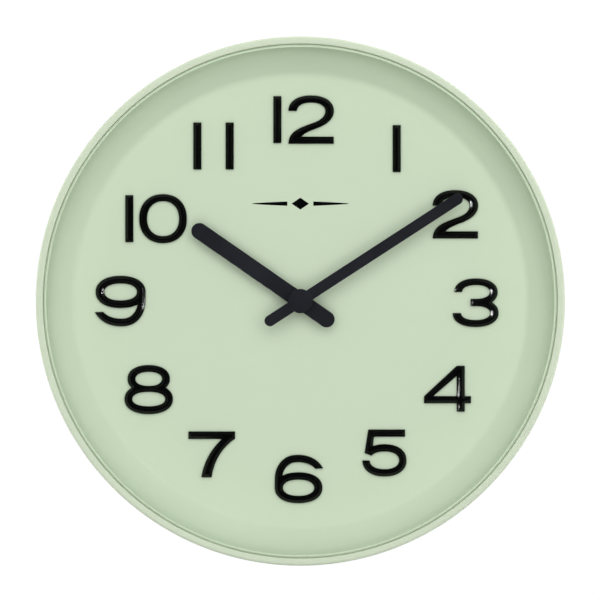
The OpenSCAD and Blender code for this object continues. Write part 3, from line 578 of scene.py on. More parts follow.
PALE_GREEN = srgb(210, 227, 199)
# Painted light: the ring's green is lighter than the dial's, standing for the light on its rounded lip.
LIT_RING_GREEN = srgb(217, 230, 204)
TURNED = (1.0, 14.0, 1.0)
ALL_FINISHES = (
    MouldedPlastic("case_plastic", LIT_RING_GREEN, roughness=0.36, mottle=0.02, wear=0.06, hollow_shade=0.1),
    MouldedPlastic("dial_plastic", PALE_GREEN, roughness=0.46, mottle=0.012, wear=0.05, hollow_shade=0.08,
                   specular=0.4),
    MouldedPlastic("cover_plastic", scaled(PALE_GREEN, 0.9), roughness=0.48, mottle=0.03, grain=1500.0,
                   grain_depth=0.00005, wear=0.0, hollow_shade=0.0),
    GlossBlack("numeral_gloss", (0.0022, 0.0022, 0.0026)),
    MattePaint("hand_paint", srgb(30, 33, 41)),
    MouldedPlastic("movement_plastic", (0.028, 0.028, 0.030), roughness=0.5, mottle=0.12, grain=1400.0,
                   grain_depth=0.00005, wear=0.0, hollow_shade=0.0),
    MouldedPlastic("inner_plastic", (0.62, 0.61, 0.55), roughness=0.42),
    MouldedPlastic("gear_plastic", (0.78, 0.77, 0.70), roughness=0.35),
    MouldedPlastic("knob_plastic", (0.70, 0.68, 0.60), roughness=0.4, wear=0.0, hollow_shade=0.0),
    Metal("bush_brass", (0.79, 0.57, 0.26), (0.34, 0.22, 0.10), roughness=0.28, stretch=TURNED),
    Metal("arbor_brass", (0.80, 0.60, 0.30), (0.40, 0.27, 0.12), roughness=0.22, stretch=TURNED),
    Rubber("gasket_rubber", (0.020, 0.020, 0.021)),
    Metal("screw_steel", (0.62, 0.62, 0.64), (0.30, 0.29, 0.28), roughness=0.3, stretch=(4.0, 1.0, 4.0)),
    Metal("plate_steel", (0.60, 0.61, 0.62), (0.36, 0.35, 0.33), roughness=0.34, stretch=(16.0, 1.0, 1.0)),
    Metal("core_steel", (0.46, 0.46, 0.47), (0.25, 0.24, 0.23), roughness=0.42),
    Metal("magnet_steel", (0.22, 0.22, 0.23), (0.12, 0.12, 0.12), roughness=0.5),
    Metal("contact_steel", (0.66, 0.65, 0.61), (0.40, 0.37, 0.31), roughness=0.25, stretch=(1.0, 1.0, 10.0)),
    Metal("crystal_can", (0.66, 0.67, 0.68), (0.42, 0.42, 0.42), roughness=0.24),
    Winding("copper_wire", (0.72, 0.30, 0.14)),
    Board("board_green", (0.022, 0.115, 0.045), (0.10, 0.30, 0.14)),
    MouldedPlastic("chip_black", (0.016, 0.016, 0.017), roughness=0.55, mottle=0.1),
    Metal("cell_can", (0.68, 0.68, 0.69), (0.45, 0.44, 0.42), roughness=0.24, stretch=(12.0, 1.0, 1.0)),
    CellWrap("cell_sleeve", (0.018, 0.022, 0.030), (0.50, 0.24, 0.07), band_from=10.0),
)
FINISHES = {finish.name: finish for finish in ALL_FINISHES}


class Paintbox:
    """Makes each finish once and puts it on pieces."""

    def __init__(self) -> None:
        """Start with no material made."""
        self.made: dict[str, bpy.types.Material] = {}

    def material(self, slot: str) -> bpy.types.Material:
        """Give the material of a slot, made when it is first asked for.

        Args:
            slot: material slot of the record.

        Returns:
            The material.
        """
        if slot not in self.made:
            self.made[slot] = FINISHES[slot].make()
        return self.made[slot]

    def dress(self, obj: bpy.types.Object, slot: str, body: Body, *nodes: str) -> None:
        """Give a finished piece its material and its place in the frame.

        Args:
            obj: the piece.
            slot: material slot of the record.
            body: body it rides on.
            nodes: CAD nodes it stands for.
        """
        obj.data.materials.clear()
        obj.data.materials.append(self.material(slot))
        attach(obj, body.value)
        if nodes:
            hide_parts(*nodes)
        log.info("%s: %d faces, rides on %s, stands for %s",
                 obj.name, len(obj.data.polygons), body.value, nodes)


# ---------------------------------------------------------------- mesh makers


def new_piece(name: str, mesh: bpy.types.Mesh) -> bpy.types.Object:
    """Put a mesh into the scene as an object at the origin.

    Args:
        name: name of the object.
        mesh: the mesh, with its place in its points.

    Returns:
        The object.
    """
    obj = bpy.data.objects.new(name, mesh)
    bpy.context.scene.collection.objects.link(obj)
    return obj


def mesh_of(name: str, verts: list, faces: list) -> bpy.types.Mesh:
    """Make a smooth mesh.

    Args:
        name: name of the mesh.
        verts: points in metres.
        faces: numbers of the points of every face.

    Returns:
        The mesh.
    """
    mesh = bpy.data.meshes.new(name)
    mesh.from_pydata([tuple(v) for v in verts], [], faces)
    mesh.validate()
    mesh.shade_smooth()
    return mesh


def arc(centre: Point, radius: float, start: float, end: float, steps: int) -> list[Point]:
    """Give points along an arc, ends included.

    Args:
        centre: its centre.
        radius: its radius.
        start: angle of the first point in degrees.
        end: angle of the last point in degrees.
        steps: number of segments.

    Returns:
        The points.
    """
    return [
        (centre[0] + radius * math.cos(math.radians(start + (end - start) * i / steps)),
         centre[1] + radius * math.sin(math.radians(start + (end - start) * i / steps)))
        for i in range(steps + 1)
    ]


def turned_out(mesh: bpy.types.Mesh, weld: float = 0.0) -> None:
    """Point the faces of a closed mesh outwards.

    Args:
        mesh: the mesh, changed in place.
        weld: distance in metres under which points are joined first; 0 leaves them.
    """
    shell = bmesh.new()
    shell.from_mesh(mesh)
    if weld:
        bmesh.ops.remove_doubles(shell, verts=shell.verts, dist=weld)
    bmesh.ops.recalc_face_normals(shell, faces=shell.faces)
    shell.to_mesh(mesh)
    shell.free()


def lathe(name: str, profile: list[Point], segments: int = 288, sharp: float = 34.0,
          axis: str = "z", at: tuple[float, float, float] = (0.0, 0.0, 0.0)) -> bpy.types.Object:
    """Turn a closed profile round an axis into a closed smooth shell.

    Args:
        name: name of the piece.
        profile: closed (radius, height) points in millimetres; a radius of 0 is a pole.
        segments: steps round the axis.
        sharp: corners steeper than this angle in degrees stay sharp.
        axis: "z" for out of the wall, "x" for along the battery.
        at: clock coordinates of the axis' foot.

    Returns:
        The new piece.
    """
    rings: list[list[int]] = []
    verts: list[tuple[float, float, float]] = []
    for radius, height in profile:
        if radius < 1e-6:
            rings.append([len(verts)] * segments)
            turns = [0.0]
        else:
            rings.append([len(verts) + k for k in range(segments)])
            turns = [2 * math.pi * k / segments for k in range(segments)]
        for t in turns:
            u, v = radius * math.cos(t), radius * math.sin(t)
            spot = (u, v, height) if axis == "z" else (height, u, v)
            verts.append(world(*(s + o for s, o in zip(spot, at))))
    faces = []
    for i, ring in enumerate(rings):
        following = rings[(i + 1) % len(rings)]
        for k in range(segments):
            n = (k + 1) % segments
            corner = []
            for index in (ring[k], ring[n], following[n], following[k]):
                if index not in corner:
                    corner.append(index)
            if len(corner) > 2:
                faces.append(corner)
    mesh = mesh_of(name, verts, faces)
    turned_out(mesh, SAME_POINT)
    mesh.set_sharp_from_angle(angle=math.radians(sharp))
    return new_piece(name, mesh)


def merged_copy(node: str, name: str) -> bpy.types.Object:
    """Copy a CAD node with its loose triangles joined and its flat faces whole.

    Args:
        node: the CAD node.
        name: name of the new piece.

    Returns:
        The copy.
    """
    mesh = frame["nodes"][node].data.copy()
    mesh.name = name
    shell = bmesh.new()
    shell.from_mesh(mesh)
    bmesh.ops.remove_doubles(shell, verts=shell.verts, dist=CAD_WELD)
    bmesh.ops.dissolve_limit(shell, angle_limit=math.radians(0.6), verts=shell.verts, edges=shell.edges)
    shell.to_mesh(mesh)
    shell.free()
    if mesh.has_custom_normals:
        mesh.attributes.remove(mesh.attributes["custom_normal"])
    mesh.shade_smooth()
    mesh.set_sharp_from_angle(angle=math.radians(30))
    return new_piece(name, mesh)


def baked(obj: bpy.types.Object) -> bpy.types.Object:
    """Apply a piece's modifiers and leave a plain mesh on it.

    Args:
        obj: the piece.

    Returns:
        The same piece, with no modifier left.
    """
    bpy.context.view_layer.update()
    graph = bpy.context.evaluated_depsgraph_get()
    mesh = bpy.data.meshes.new_from_object(obj.evaluated_get(graph), depsgraph=graph)
    mesh.name = obj.name
    obj.modifiers.clear()
    obj.data = mesh
    return obj


def eased(node: str, name: str, width: float, angle: float = 40.0) -> bpy.types.Object:
    """Copy a CAD node and round its edges as a mould does.

    Args:
        node: the CAD node.
        name: name of the new piece.
        width: width of the rounding in millimetres.
        angle: edges sharper than this, in degrees, are rounded.

    Returns:
        The new piece, with no modifier left.
    """
    obj = merged_copy(node, name)
    rounding = obj.modifiers.new("rounding", "BEVEL")
    rounding.width = width * MM
    rounding.segments = 2
    rounding.limit_method = "ANGLE"
    rounding.angle_limit = math.radians(angle)
    rounding.use_clamp_overlap = True
    rounding.harden_normals = False
    baked(obj)
    shell = bmesh.new()
    shell.from_mesh(obj.data)
    bmesh.ops.remove_doubles(shell, verts=shell.verts, dist=SLIVER)
    bmesh.ops.dissolve_degenerate(shell, edges=shell.edges, dist=SLIVER)
    shell.to_mesh(obj.data)
    shell.free()
    obj.data.shade_smooth()
    obj.data.set_sharp_from_angle(angle=math.radians(38))
    flats = obj.modifiers.new("flat_faces", "WEIGHTED_NORMAL")
    flats.mode = "FACE_AREA"
    flats.weight = 100
    flats.keep_sharp = True
    return baked(obj)


# ---------------------------------------------------------------- domed plates


class Outline:
    """Closed outlines in the dial's plane, in clock coordinates, outer ones and holes alike."""

    FINE = 0.05  # spacing in millimetres at which a line is averaged
    BATCH = 400  # points that are measured at once

    def __init__(self, loops: list[np.ndarray]) -> None:
        """Keep the loops, the outer ones anticlockwise and the holes clockwise.

        Args:
            loops: arrays of (x, y) points in millimetres.
        """
        self.loops = []
        for i, loop in enumerate(loops):
            inside = sum(self.holds(other, loop[0]) for j, other in enumerate(loops) if j != i)
            area = self.area(loop)
            wanted = 1 if inside % 2 == 0 else -1
            self.loops.append(loop if area * wanted > 0 else loop[::-1])

    @staticmethod
    def area(loop: np.ndarray) -> float:
        """Give the signed area of a loop."""
        x, y = loop[:, 0], loop[:, 1]
        return 0.5 * float(np.sum(x * np.roll(y, -1) - np.roll(x, -1) * y))

    @staticmethod
    def holds(loop: np.ndarray, point: np.ndarray) -> bool:
        """Say whether a point lies inside a loop.

        Args:
            loop: points of the loop.
            point: the point that is tested.

        Returns:
            True if it lies inside.
        """
        x, y = loop[:, 0], loop[:, 1]
        nx, ny = np.roll(x, -1), np.roll(y, -1)
        crosses = (y > point[1]) != (ny > point[1])
        with np.errstate(divide="ignore", invalid="ignore"):
            at = x + (point[1] - y) * (nx - x) / (ny - y)
        return bool(np.sum(crosses & (point[0] < at)) % 2)

    @classmethod
    def of_front(cls, node: str) -> "Outline":
        """Read the outline of a CAD node's front face.

        Args:
            node: the CAD node.

        Returns:
            The outline of every flat face at the node's greatest height.
        """
        mesh = frame["nodes"][node].data
        shell = bmesh.new()
        shell.from_mesh(mesh)
        bmesh.ops.remove_doubles(shell, verts=shell.verts, dist=CAD_WELD)
        top = min(v.co.y for v in shell.verts)
        flat = [f for f in shell.faces if all(abs(v.co.y - top) < CAD_WELD for v in f.verts)]
        chosen = set(flat)
        ahead: dict[int, list[int]] = {}
        for face in flat:
            for loop in face.loops:
                edge = loop.edge
                if sum(f in chosen for f in edge.link_faces) == 1:
                    a, b = loop.vert.index, loop.link_loop_next.vert.index
                    ahead.setdefault(a, []).append(b)
        spots = {v.index: (v.co.x / MM, v.co.z / MM) for v in shell.verts}
        shell.free()
        loops = []
        while ahead:
            start = next(iter(ahead))
            walk, here = [], start
            while here in ahead:
                walk.append(here)
                nxt = ahead[here].pop()
                if not ahead[here]:
                    del ahead[here]
                here = nxt
            loops.append(np.array([spots[i] for i in walk]))
        return cls(loops)

    def smoothed(self, step: float, blur: float) -> "Outline":
        """Turn the facets into a fair curve and round the corners a little.

        Args:
            step: spacing of the new points in millimetres.
            blur: length in millimetres over which the line is averaged.

        Returns:
            The new outline.
        """
        result = []
        for loop in self.loops:
            closed = np.vstack([loop, loop[:1]])
            seg = np.linalg.norm(np.diff(closed, axis=0), axis=1)
            run = np.concatenate([[0], np.cumsum(seg)])
            fine = self.FINE
            count = int(run[-1] / fine)
            s = np.linspace(0, run[-1], count, endpoint=False)
            dense = np.column_stack([np.interp(s, run, closed[:, k]) for k in (0, 1)])
            reach = int(3 * blur / fine)
            kernel = np.exp(-0.5 * (np.arange(-reach, reach + 1) * fine / blur) ** 2)
            kernel /= kernel.sum()
            padded = np.vstack([dense[-reach:], dense, dense[:reach]])
            soft = np.column_stack([np.convolve(padded[:, k], kernel, "valid") for k in (0, 1)])
            keep = max(12, int(run[-1] / step))
            index = (np.arange(keep) * count / keep).astype(int)
            result.append(soft[index])
        return Outline(result)

    def segments(self) -> tuple[np.ndarray, np.ndarray]:
        """Give the start and the end of every segment."""
        return np.vstack(self.loops), np.vstack([np.roll(p, -1, axis=0) for p in self.loops])

    def depth(self, points: np.ndarray) -> tuple[np.ndarray, np.ndarray]:
        """Measure how far points are from the outline, and which way is in.

        Args:
            points: (x, y) points in millimetres.

        Returns:
            Distances, and unit vectors from the nearest spot of the outline.
        """
        a, b = self.segments()
        distance = np.empty(len(points))
        inward = np.empty((len(points), 2))
        run = b - a
        length = np.maximum((run ** 2).sum(1), 1e-12)
        for first in range(0, len(points), self.BATCH):
            part = slice(first, first + self.BATCH)
            p = points[part, None, :]
            t = np.clip(((p - a) * run).sum(2) / length, 0, 1)
            gap = p - (a + t[..., None] * run)
            d = np.sqrt((gap ** 2).sum(2))
            best = d.argmin(1)
            rows = np.arange(len(best))
            distance[part] = d[rows, best]
            inward[part] = gap[rows, best] / np.maximum(d[rows, best], 1e-9)[:, None]
        return distance, inward

    def filled(self, more: np.ndarray) -> tuple[np.ndarray, list[list[int]], list[int]]:
        """Cover the inside of the outline with triangles, up to its lines and never past them.

        Args:
            more: further (x, y) points inside the outline, in millimetres.

        Returns:
            The points, the triangles, and the number of every point of the outline among the points.
        """
        border = np.vstack(self.loops)
        lines, first = [], 0
        for loop in self.loops:
            lines += [(first + k, first + (k + 1) % len(loop)) for k in range(len(loop))]
            first += len(loop)
        got, _, triangles, origin, _, _ = delaunay_2d_cdt(
            [Vector(p) for p in np.vstack([border, more])], lines, [], 0, 1e-5, True)
        place = {j: i for i, sources in enumerate(origin) for j in sources if j < len(border)}
        walls = {(place[a], place[b]) for a, b in lines}
        beside = {}
        for number, (a, b, c) in enumerate(triangles):
            beside.update({(a, b): number, (b, c): number, (c, a): number})
        inner: set[int] = set()
        waiting = [beside[wall] for wall in walls]
        while waiting:
            number = waiting.pop()
            if number in inner:
                continue
            inner.add(number)
            a, b, c = triangles[number]
            waiting += [beside[(q, p)] for p, q in ((a, b), (b, c), (c, a)) if (p, q) not in walls]
        return (np.array([tuple(p) for p in got]), [list(triangles[k]) for k in sorted(inner)],
                [place[j] for j in range(len(border))])

    def inside(self, points: np.ndarray) -> np.ndarray:
        """Say which points lie inside the outline.

        Args:
            points: (x, y) points in millimetres.

        Returns:
            True for every point inside.
        """
        x, y = points[:, 0:1], points[:, 1:2]
        a, b = self.segments()
        crosses = (a[:, 1] > y) != (b[:, 1] > y)
        with np.errstate(divide="ignore", invalid="ignore"):
            at = a[:, 0] + (y - a[:, 1]) * (b[:, 0] - a[:, 0]) / (b[:, 1] - a[:, 1])
        return (np.sum(crosses & (x < at), axis=1) % 2).astype(bool)


SECTION_STEP = 0.05
STEEPEST = math.radians(88)


@dataclass(frozen=True)
class EdgeProfile:
    """Section of a plate's front: a small rounding, a slope, and a soft turn into the flat top.

    The slope is in degrees. It holds until slope_to and has turned flat at flat_from, both
    distances from the edge in millimetres.
    """

    rounding: float
    slope: float = 0.0
    slope_to: float = 0.0
    flat_from: float = 0.0

    def table(self) -> tuple[np.ndarray, np.ndarray, np.ndarray]:
        """Give the section as a table.

        Returns:
            Distances from the edge, depths below the top, and slopes, in millimetres.
        """
        lean = math.radians(self.slope)
        radius = self.rounding / (1 - math.sin(lean))
        turn = np.linspace(math.pi / 2, lean, 16)
        distance = list(radius * (1 - np.sin(turn)))
        height = list(radius * np.cos(turn))
        tilt = list(np.tan(np.minimum(turn, STEEPEST)))
        if self.flat_from > self.rounding:
            for d in np.arange(self.rounding + SECTION_STEP, self.flat_from + 2 * SECTION_STEP, SECTION_STEP):
                t = np.clip((d - self.slope_to) / (self.flat_from - self.slope_to), 0, 1)
                rise = math.tan(lean * (1 - t * t * (3 - 2 * t)))
                height.append(height[-1] + rise * (d - distance[-1]))
                distance.append(d)
                tilt.append(rise)
        return np.array(distance), np.array(height) - height[-1], np.array(tilt)

    def depths(self) -> list[float]:
        """Give the distances from the edge at which the section needs rows of points.

        Returns:
            The distances in millimetres, rising.
        """
        arc_rows = [self.rounding * share for share in (0.1, 0.3, 0.6, 1.0)]
        if self.flat_from <= self.rounding:
            return arc_rows
        steps = max(1, round((self.flat_from - self.rounding) / 0.4))
        return arc_rows + [self.rounding + (self.flat_from - self.rounding) * k / steps
                           for k in range(1, steps + 1)]


@dataclass
class DomedPlate:
    """A plate with a shaped front edge over an outline, standing on a flat base."""

    outline: Outline
    base: float
    top: float
    section: EdgeProfile
    spacing: float = 0.42
    clear_of_rows: float = 0.2

    def height(self, depth: np.ndarray) -> tuple[np.ndarray, np.ndarray]:
        """Give the front's height and its slope at a distance from the edge.

        Args:
            depth: distances from the outline in millimetres.

        Returns:
            Heights, and slopes along the way in.
        """
        distance, below, tilt = self.section.table()
        return self.top + np.interp(depth, distance, below), np.interp(depth, distance, tilt)

    def build(self, name: str) -> bpy.types.Object:
        """Build the plate.

        Args:
            name: name of the piece.

        Returns:
            The new piece, closed and smooth, with exact normals.
        """
        out = self.outline
        border = np.vstack(out.loops)
        rows = []
        depths = self.section.depths()
        for d in depths:
            for loop in out.loops:
                along = np.roll(loop, -1, axis=0) - np.roll(loop, 1, axis=0)
                along /= np.maximum(np.linalg.norm(along, axis=1), 1e-9)[:, None]
                rows.append(loop + d * np.column_stack([-along[:, 1], along[:, 0]]))
        low, high = border.min(0), border.max(0)
        s = self.spacing
        ys = np.arange(low[1], high[1], s * 0.866)
        grid = np.array([
            (x + (0.5 * s if k % 2 else 0.0), y)
            for k, y in enumerate(ys) for x in np.arange(low[0], high[0], s)
        ])
        grid = grid[out.inside(grid)]
        grid_depth, _ = out.depth(grid)
        grid = grid[grid_depth > depths[-1] + self.clear_of_rows]
        strips = np.vstack(rows)
        wanted = np.repeat(depths, len(border))
        strips_in = out.inside(strips)
        depth, _ = out.depth(strips)
        strips = strips[strips_in & (np.abs(depth - wanted) < 0.02 + 0.06 * wanted)]
        flat, faces, back = out.filled(np.vstack([strips, grid]))
        depth, inward = out.depth(flat)
        depth[back] = 0.0
        z, slope = self.height(depth)
        verts = [world(x, y, h) for (x, y), h in zip(flat, z)]
        normals = []
        for away, tilt in zip(inward, slope):
            normals.append(Vector((-away[0] * tilt, -1.0, -away[1] * tilt)).normalized())
        foot: dict[int, int] = {}
        first = 0
        for loop in out.loops:
            n = len(loop)
            for k in range(n):
                i = back[first + k]
                along = loop[(k + 1) % n] - loop[k - 1]
                side = Vector((along[1], 0.0, -along[0])).normalized()
                normals[i] = side
                foot[i] = len(verts)
                verts.append(world(flat[i][0], flat[i][1], self.base))
                normals.append(side)
            for k in range(n):
                a, b = back[first + k], back[first + (k + 1) % n]
                faces.append([a, foot[a], foot[b], b])
            first += n
        _, closed, corner = out.filled(np.empty((0, 2)))
        below = {number: foot[back[k]] for k, number in enumerate(corner)}
        faces += [[below[i] for i in face] for face in closed]
        mesh = mesh_of(name, verts, faces)
        turned_out(mesh)
        for edge in mesh.edges:
            if all(v >= len(flat) for v in edge.vertices):
                edge.use_edge_sharp = True
        mesh.normals_split_custom_set_from_vertices(
            [tuple(n) for n in normals[:len(mesh.vertices)]])
        return new_piece(name, mesh)


# ---------------------------------------------------------------- geometry nodes


class RingOfPieces:
    """A Geometry Nodes tree that sets copies of a piece round the axis of the hands."""

    INPUTS = (
        ("Piece", "NodeSocketObject", None),
        ("Count", "NodeSocketInt", 6),
        ("Radius", "NodeSocketFloat", 0.1),
        ("First Angle", "NodeSocketFloat", 0.0),
        ("Turn Range", "NodeSocketFloat", 0.0),
        ("Seed", "NodeSocketInt", 7),
        ("Finish", "NodeSocketMaterial", None),
    )

    def __init__(self) -> None:
        """Build the tree: points on a circle, instances with a random turn, one mesh."""
        tree = bpy.data.node_groups.new("ring_of_pieces", "GeometryNodeTree")
        self.tree = tree
        tree.interface.new_socket("Geometry", in_out="OUTPUT", socket_type="NodeSocketGeometry")
        self.sockets: dict[str, str] = {}
        for name, kind, value in self.INPUTS:
            socket = tree.interface.new_socket(name, in_out="INPUT", socket_type=kind)
            if value is not None:
                socket.default_value = value
            self.sockets[name] = socket.identifier
        add, link = tree.nodes.new, tree.links.new
        given = add("NodeGroupInput")
        result = add("NodeGroupOutput")
        piece = add("GeometryNodeObjectInfo")
        piece.transform_space = "ORIGINAL"
        link(given.outputs["Piece"], piece.inputs["Object"])
        points = add("GeometryNodePoints")
        link(given.outputs["Count"], points.inputs["Count"])
        index = add("GeometryNodeInputIndex")
        step = self.maths(add, "DIVIDE")
        step.inputs[0].default_value = 2 * math.pi
        link(given.outputs["Count"], step.inputs[1])
        angle = self.maths(add, "MULTIPLY_ADD")
        link(index.outputs[0], angle.inputs[0])
        link(step.outputs[0], angle.inputs[1])
        link(given.outputs["First Angle"], angle.inputs[2])
        spot = add("ShaderNodeCombineXYZ")
        for operation, axis in (("COSINE", "X"), ("SINE", "Z")):
            wave = self.maths(add, operation)
            link(angle.outputs[0], wave.inputs[0])
            reach = self.maths(add, "MULTIPLY")
            link(wave.outputs[0], reach.inputs[0])
            link(given.outputs["Radius"], reach.inputs[1])
            link(reach.outputs[0], spot.inputs[axis])
        link(spot.outputs[0], points.inputs["Position"])
        chance = add("FunctionNodeRandomValue")
        chance.data_type = "FLOAT"
        half = self.maths(add, "MULTIPLY")
        half.inputs[1].default_value = -1.0
        link(given.outputs["Turn Range"], half.inputs[0])
        low = next(s for s in chance.inputs if s.name == "Min" and s.type == "VALUE")
        high = next(s for s in chance.inputs if s.name == "Max" and s.type == "VALUE")
        link(half.outputs[0], low)
        link(given.outputs["Turn Range"], high)
        link(given.outputs["Seed"], chance.inputs["Seed"])
        drawn = next(s for s in chance.outputs if s.type == "VALUE" and s.enabled)
        turned = self.maths(add, "SUBTRACT")
        link(drawn, turned.inputs[0])
        link(angle.outputs[0], turned.inputs[1])
        turn = add("ShaderNodeCombineXYZ")
        link(turned.outputs[0], turn.inputs["Y"])
        copies = add("GeometryNodeInstanceOnPoints")
        link(points.outputs[0], copies.inputs["Points"])
        link(piece.outputs["Geometry"], copies.inputs["Instance"])
        link(turn.outputs[0], copies.inputs["Rotation"])
        whole = add("GeometryNodeRealizeInstances")
        link(copies.outputs[0], whole.inputs[0])
        paint = add("GeometryNodeSetMaterial")
        link(whole.outputs[0], paint.inputs["Geometry"])
        link(given.outputs["Finish"], paint.inputs["Material"])
        link(paint.outputs[0], result.inputs[0])

    @staticmethod
    def maths(add: object, operation: str) -> bpy.types.Node:
        """Add a Math node for an operation.

        Args:
            add: call that adds a node to the tree.
            operation: Blender's name for the operation.

        Returns:
            The node.
        """
        node = add("ShaderNodeMath")
        node.operation = operation
        return node

    def place(self, name: str, piece: bpy.types.Object, finish: bpy.types.Material,
              count: int, radius: float, first: float, turn_range: float = 0.0,
              seed: int = 7) -> bpy.types.Object:
        """Set copies of a piece round the axis and remove the piece itself.

        Args:
            name: name of the result.
            piece: the piece to copy, built around the axis of the hands.
            finish: material of the result.
            count: number of copies.
            radius: radius of the circle in millimetres.
            first: angle of the first copy in degrees, anticlockwise from 3 o'clock.
            turn_range: greatest random turn of a copy about itself, in degrees.
            seed: seed of those turns.

        Returns:
            One plain mesh.
        """
        holder = new_piece(name, bpy.data.meshes.new(name))
        modifier = holder.modifiers.new("ring", "NODES")
        modifier.node_group = self.tree
        values = {
            "Piece": piece, "Count": count, "Radius": radius * MM, "First Angle": math.radians(first),
            "Turn Range": math.radians(turn_range), "Seed": seed, "Finish": finish,
        }
        for key, value in values.items():
            modifier[self.sockets[key]] = value
        baked(holder)
        bpy.data.objects.remove(piece)
        return holder


def joined(name: str, *parts: bpy.types.Object) -> bpy.types.Object:
    """Join several pieces into one plain mesh at the origin.

    Args:
        name: name of the result.
        parts: pieces that are used up.

    Returns:
        The joined piece.
    """
    shell = bmesh.new()
    for part in parts:
        shell.from_mesh(part.data)
        bpy.data.objects.remove(part)
    mesh = bpy.data.meshes.new(name)
    shell.to_mesh(mesh)
    shell.free()
    return new_piece(name, mesh)


# ---------------------------------------------------------------- the clock's sub-assemblies


SCREW_COUNT = 6
COVER_SCREWS_FROM = 0.0
DIAL_SCREWS_FROM = 30.0
COVER_SCREW_RING = 141.9
DIAL_SCREW_RING = 138.3
SCREW_HOLE = 1.25


@dataclass
class CaseRing:
    """The moulded ring: a drum with a rounded front lip, a seat and a ledge inside.

    The seat and the ledge are (inner radius, lowest height, highest height).
    """

    outer: float = 150.0
    back_outer: float = 148.6
    inner: float = 146.2
    lip_inner: float = 145.7
    depth: float = 42.0
    straight_to: float = 36.0
    lip_round: float = 1.8
    lip_round_in: float = 1.0
    lip_depth: float = 5.0
    back_round: float = 0.6
    seat: tuple[float, float, float] = (137.9, 4.8, 6.8)
    ledge: tuple[float, float, float] = (138.3, 19.8, 22.0)
    chamfer: float = 0.3
    boss_sink: float = 0.2
    cover_boss: float = 3.4
    dial_boss: float = 4.0

    def shelf(self, radius: float, low: float, high: float) -> list[Point]:
        """Give the section of a shelf inside the ring.

        Args:
            radius: its inner radius.
            low: its lowest height.
            high: its highest height.

        Returns:
            The points from the front to the back, with its two inner edges broken.
        """
        c = self.chamfer
        return [(self.inner, high), (radius + c, high), (radius, high - c),
                (radius, low + c), (radius + c, low), (self.inner, low)]

    def profile(self) -> list[Point]:
        """Give the closed section of the ring.

        Returns:
            The points, from the wall outwards and back inside.
        """
        lip, lip_in, back = self.lip_round, self.lip_round_in, self.back_round
        return [
            (self.inner + 0.4, 0.0),
            *arc((self.back_outer - back, back), back, -90, 0, 5),
            (self.outer - 0.002, self.straight_to),
            (self.outer, self.straight_to + 1.5),
            *arc((self.outer - lip, self.depth - lip), lip, 0, 90, 14),
            *arc((self.lip_inner + lip_in, self.depth - lip_in), lip_in, 90, 180, 10),
            (self.lip_inner, self.depth - self.lip_depth),
            (self.inner, self.depth - self.lip_depth - 1.5),
            *self.shelf(*self.ledge),
            *self.shelf(*self.seat),
            (self.inner, 0.4),
        ]

    def boss(self, radius: float, low: float, high: float) -> bpy.types.Object:
        """Build a screw boss around the axis of the hands.

        Args:
            radius: its outer radius.
            low: its lowest height.
            high: its highest height.

        Returns:
            The boss.
        """
        c = self.chamfer
        return lathe("boss", [(SCREW_HOLE, low), (radius, low), (radius, high - c), (radius - c, high),
                              (SCREW_HOLE, high)], 40)

    def build(self, paint: Paintbox, ring: RingOfPieces) -> None:
        """Build the ring with its bosses and dress it.

        Args:
            paint: the finishes.
            ring: the tree that sets copies round the axis.
        """
        finish = paint.material("case_plastic")
        shell = lathe("case_ring_moulding", self.profile(), 360, sharp=30.0)
        cover_boss = self.boss(self.cover_boss, self.seat[2] - self.boss_sink, self.ledge[1] + self.boss_sink)
        covers = ring.place("cover_bosses", cover_boss, finish, SCREW_COUNT, COVER_SCREW_RING,
                            COVER_SCREWS_FROM)
        dial_boss = self.boss(self.dial_boss, self.ledge[1], self.ledge[2])
        dials = ring.place("dial_bosses", dial_boss, finish, SCREW_COUNT, DIAL_SCREW_RING, DIAL_SCREWS_FROM)
        piece = joined("case_ring_shell", shell, covers, dials)
        paint.dress(piece, "case_plastic", Body.CASE, "case_ring")


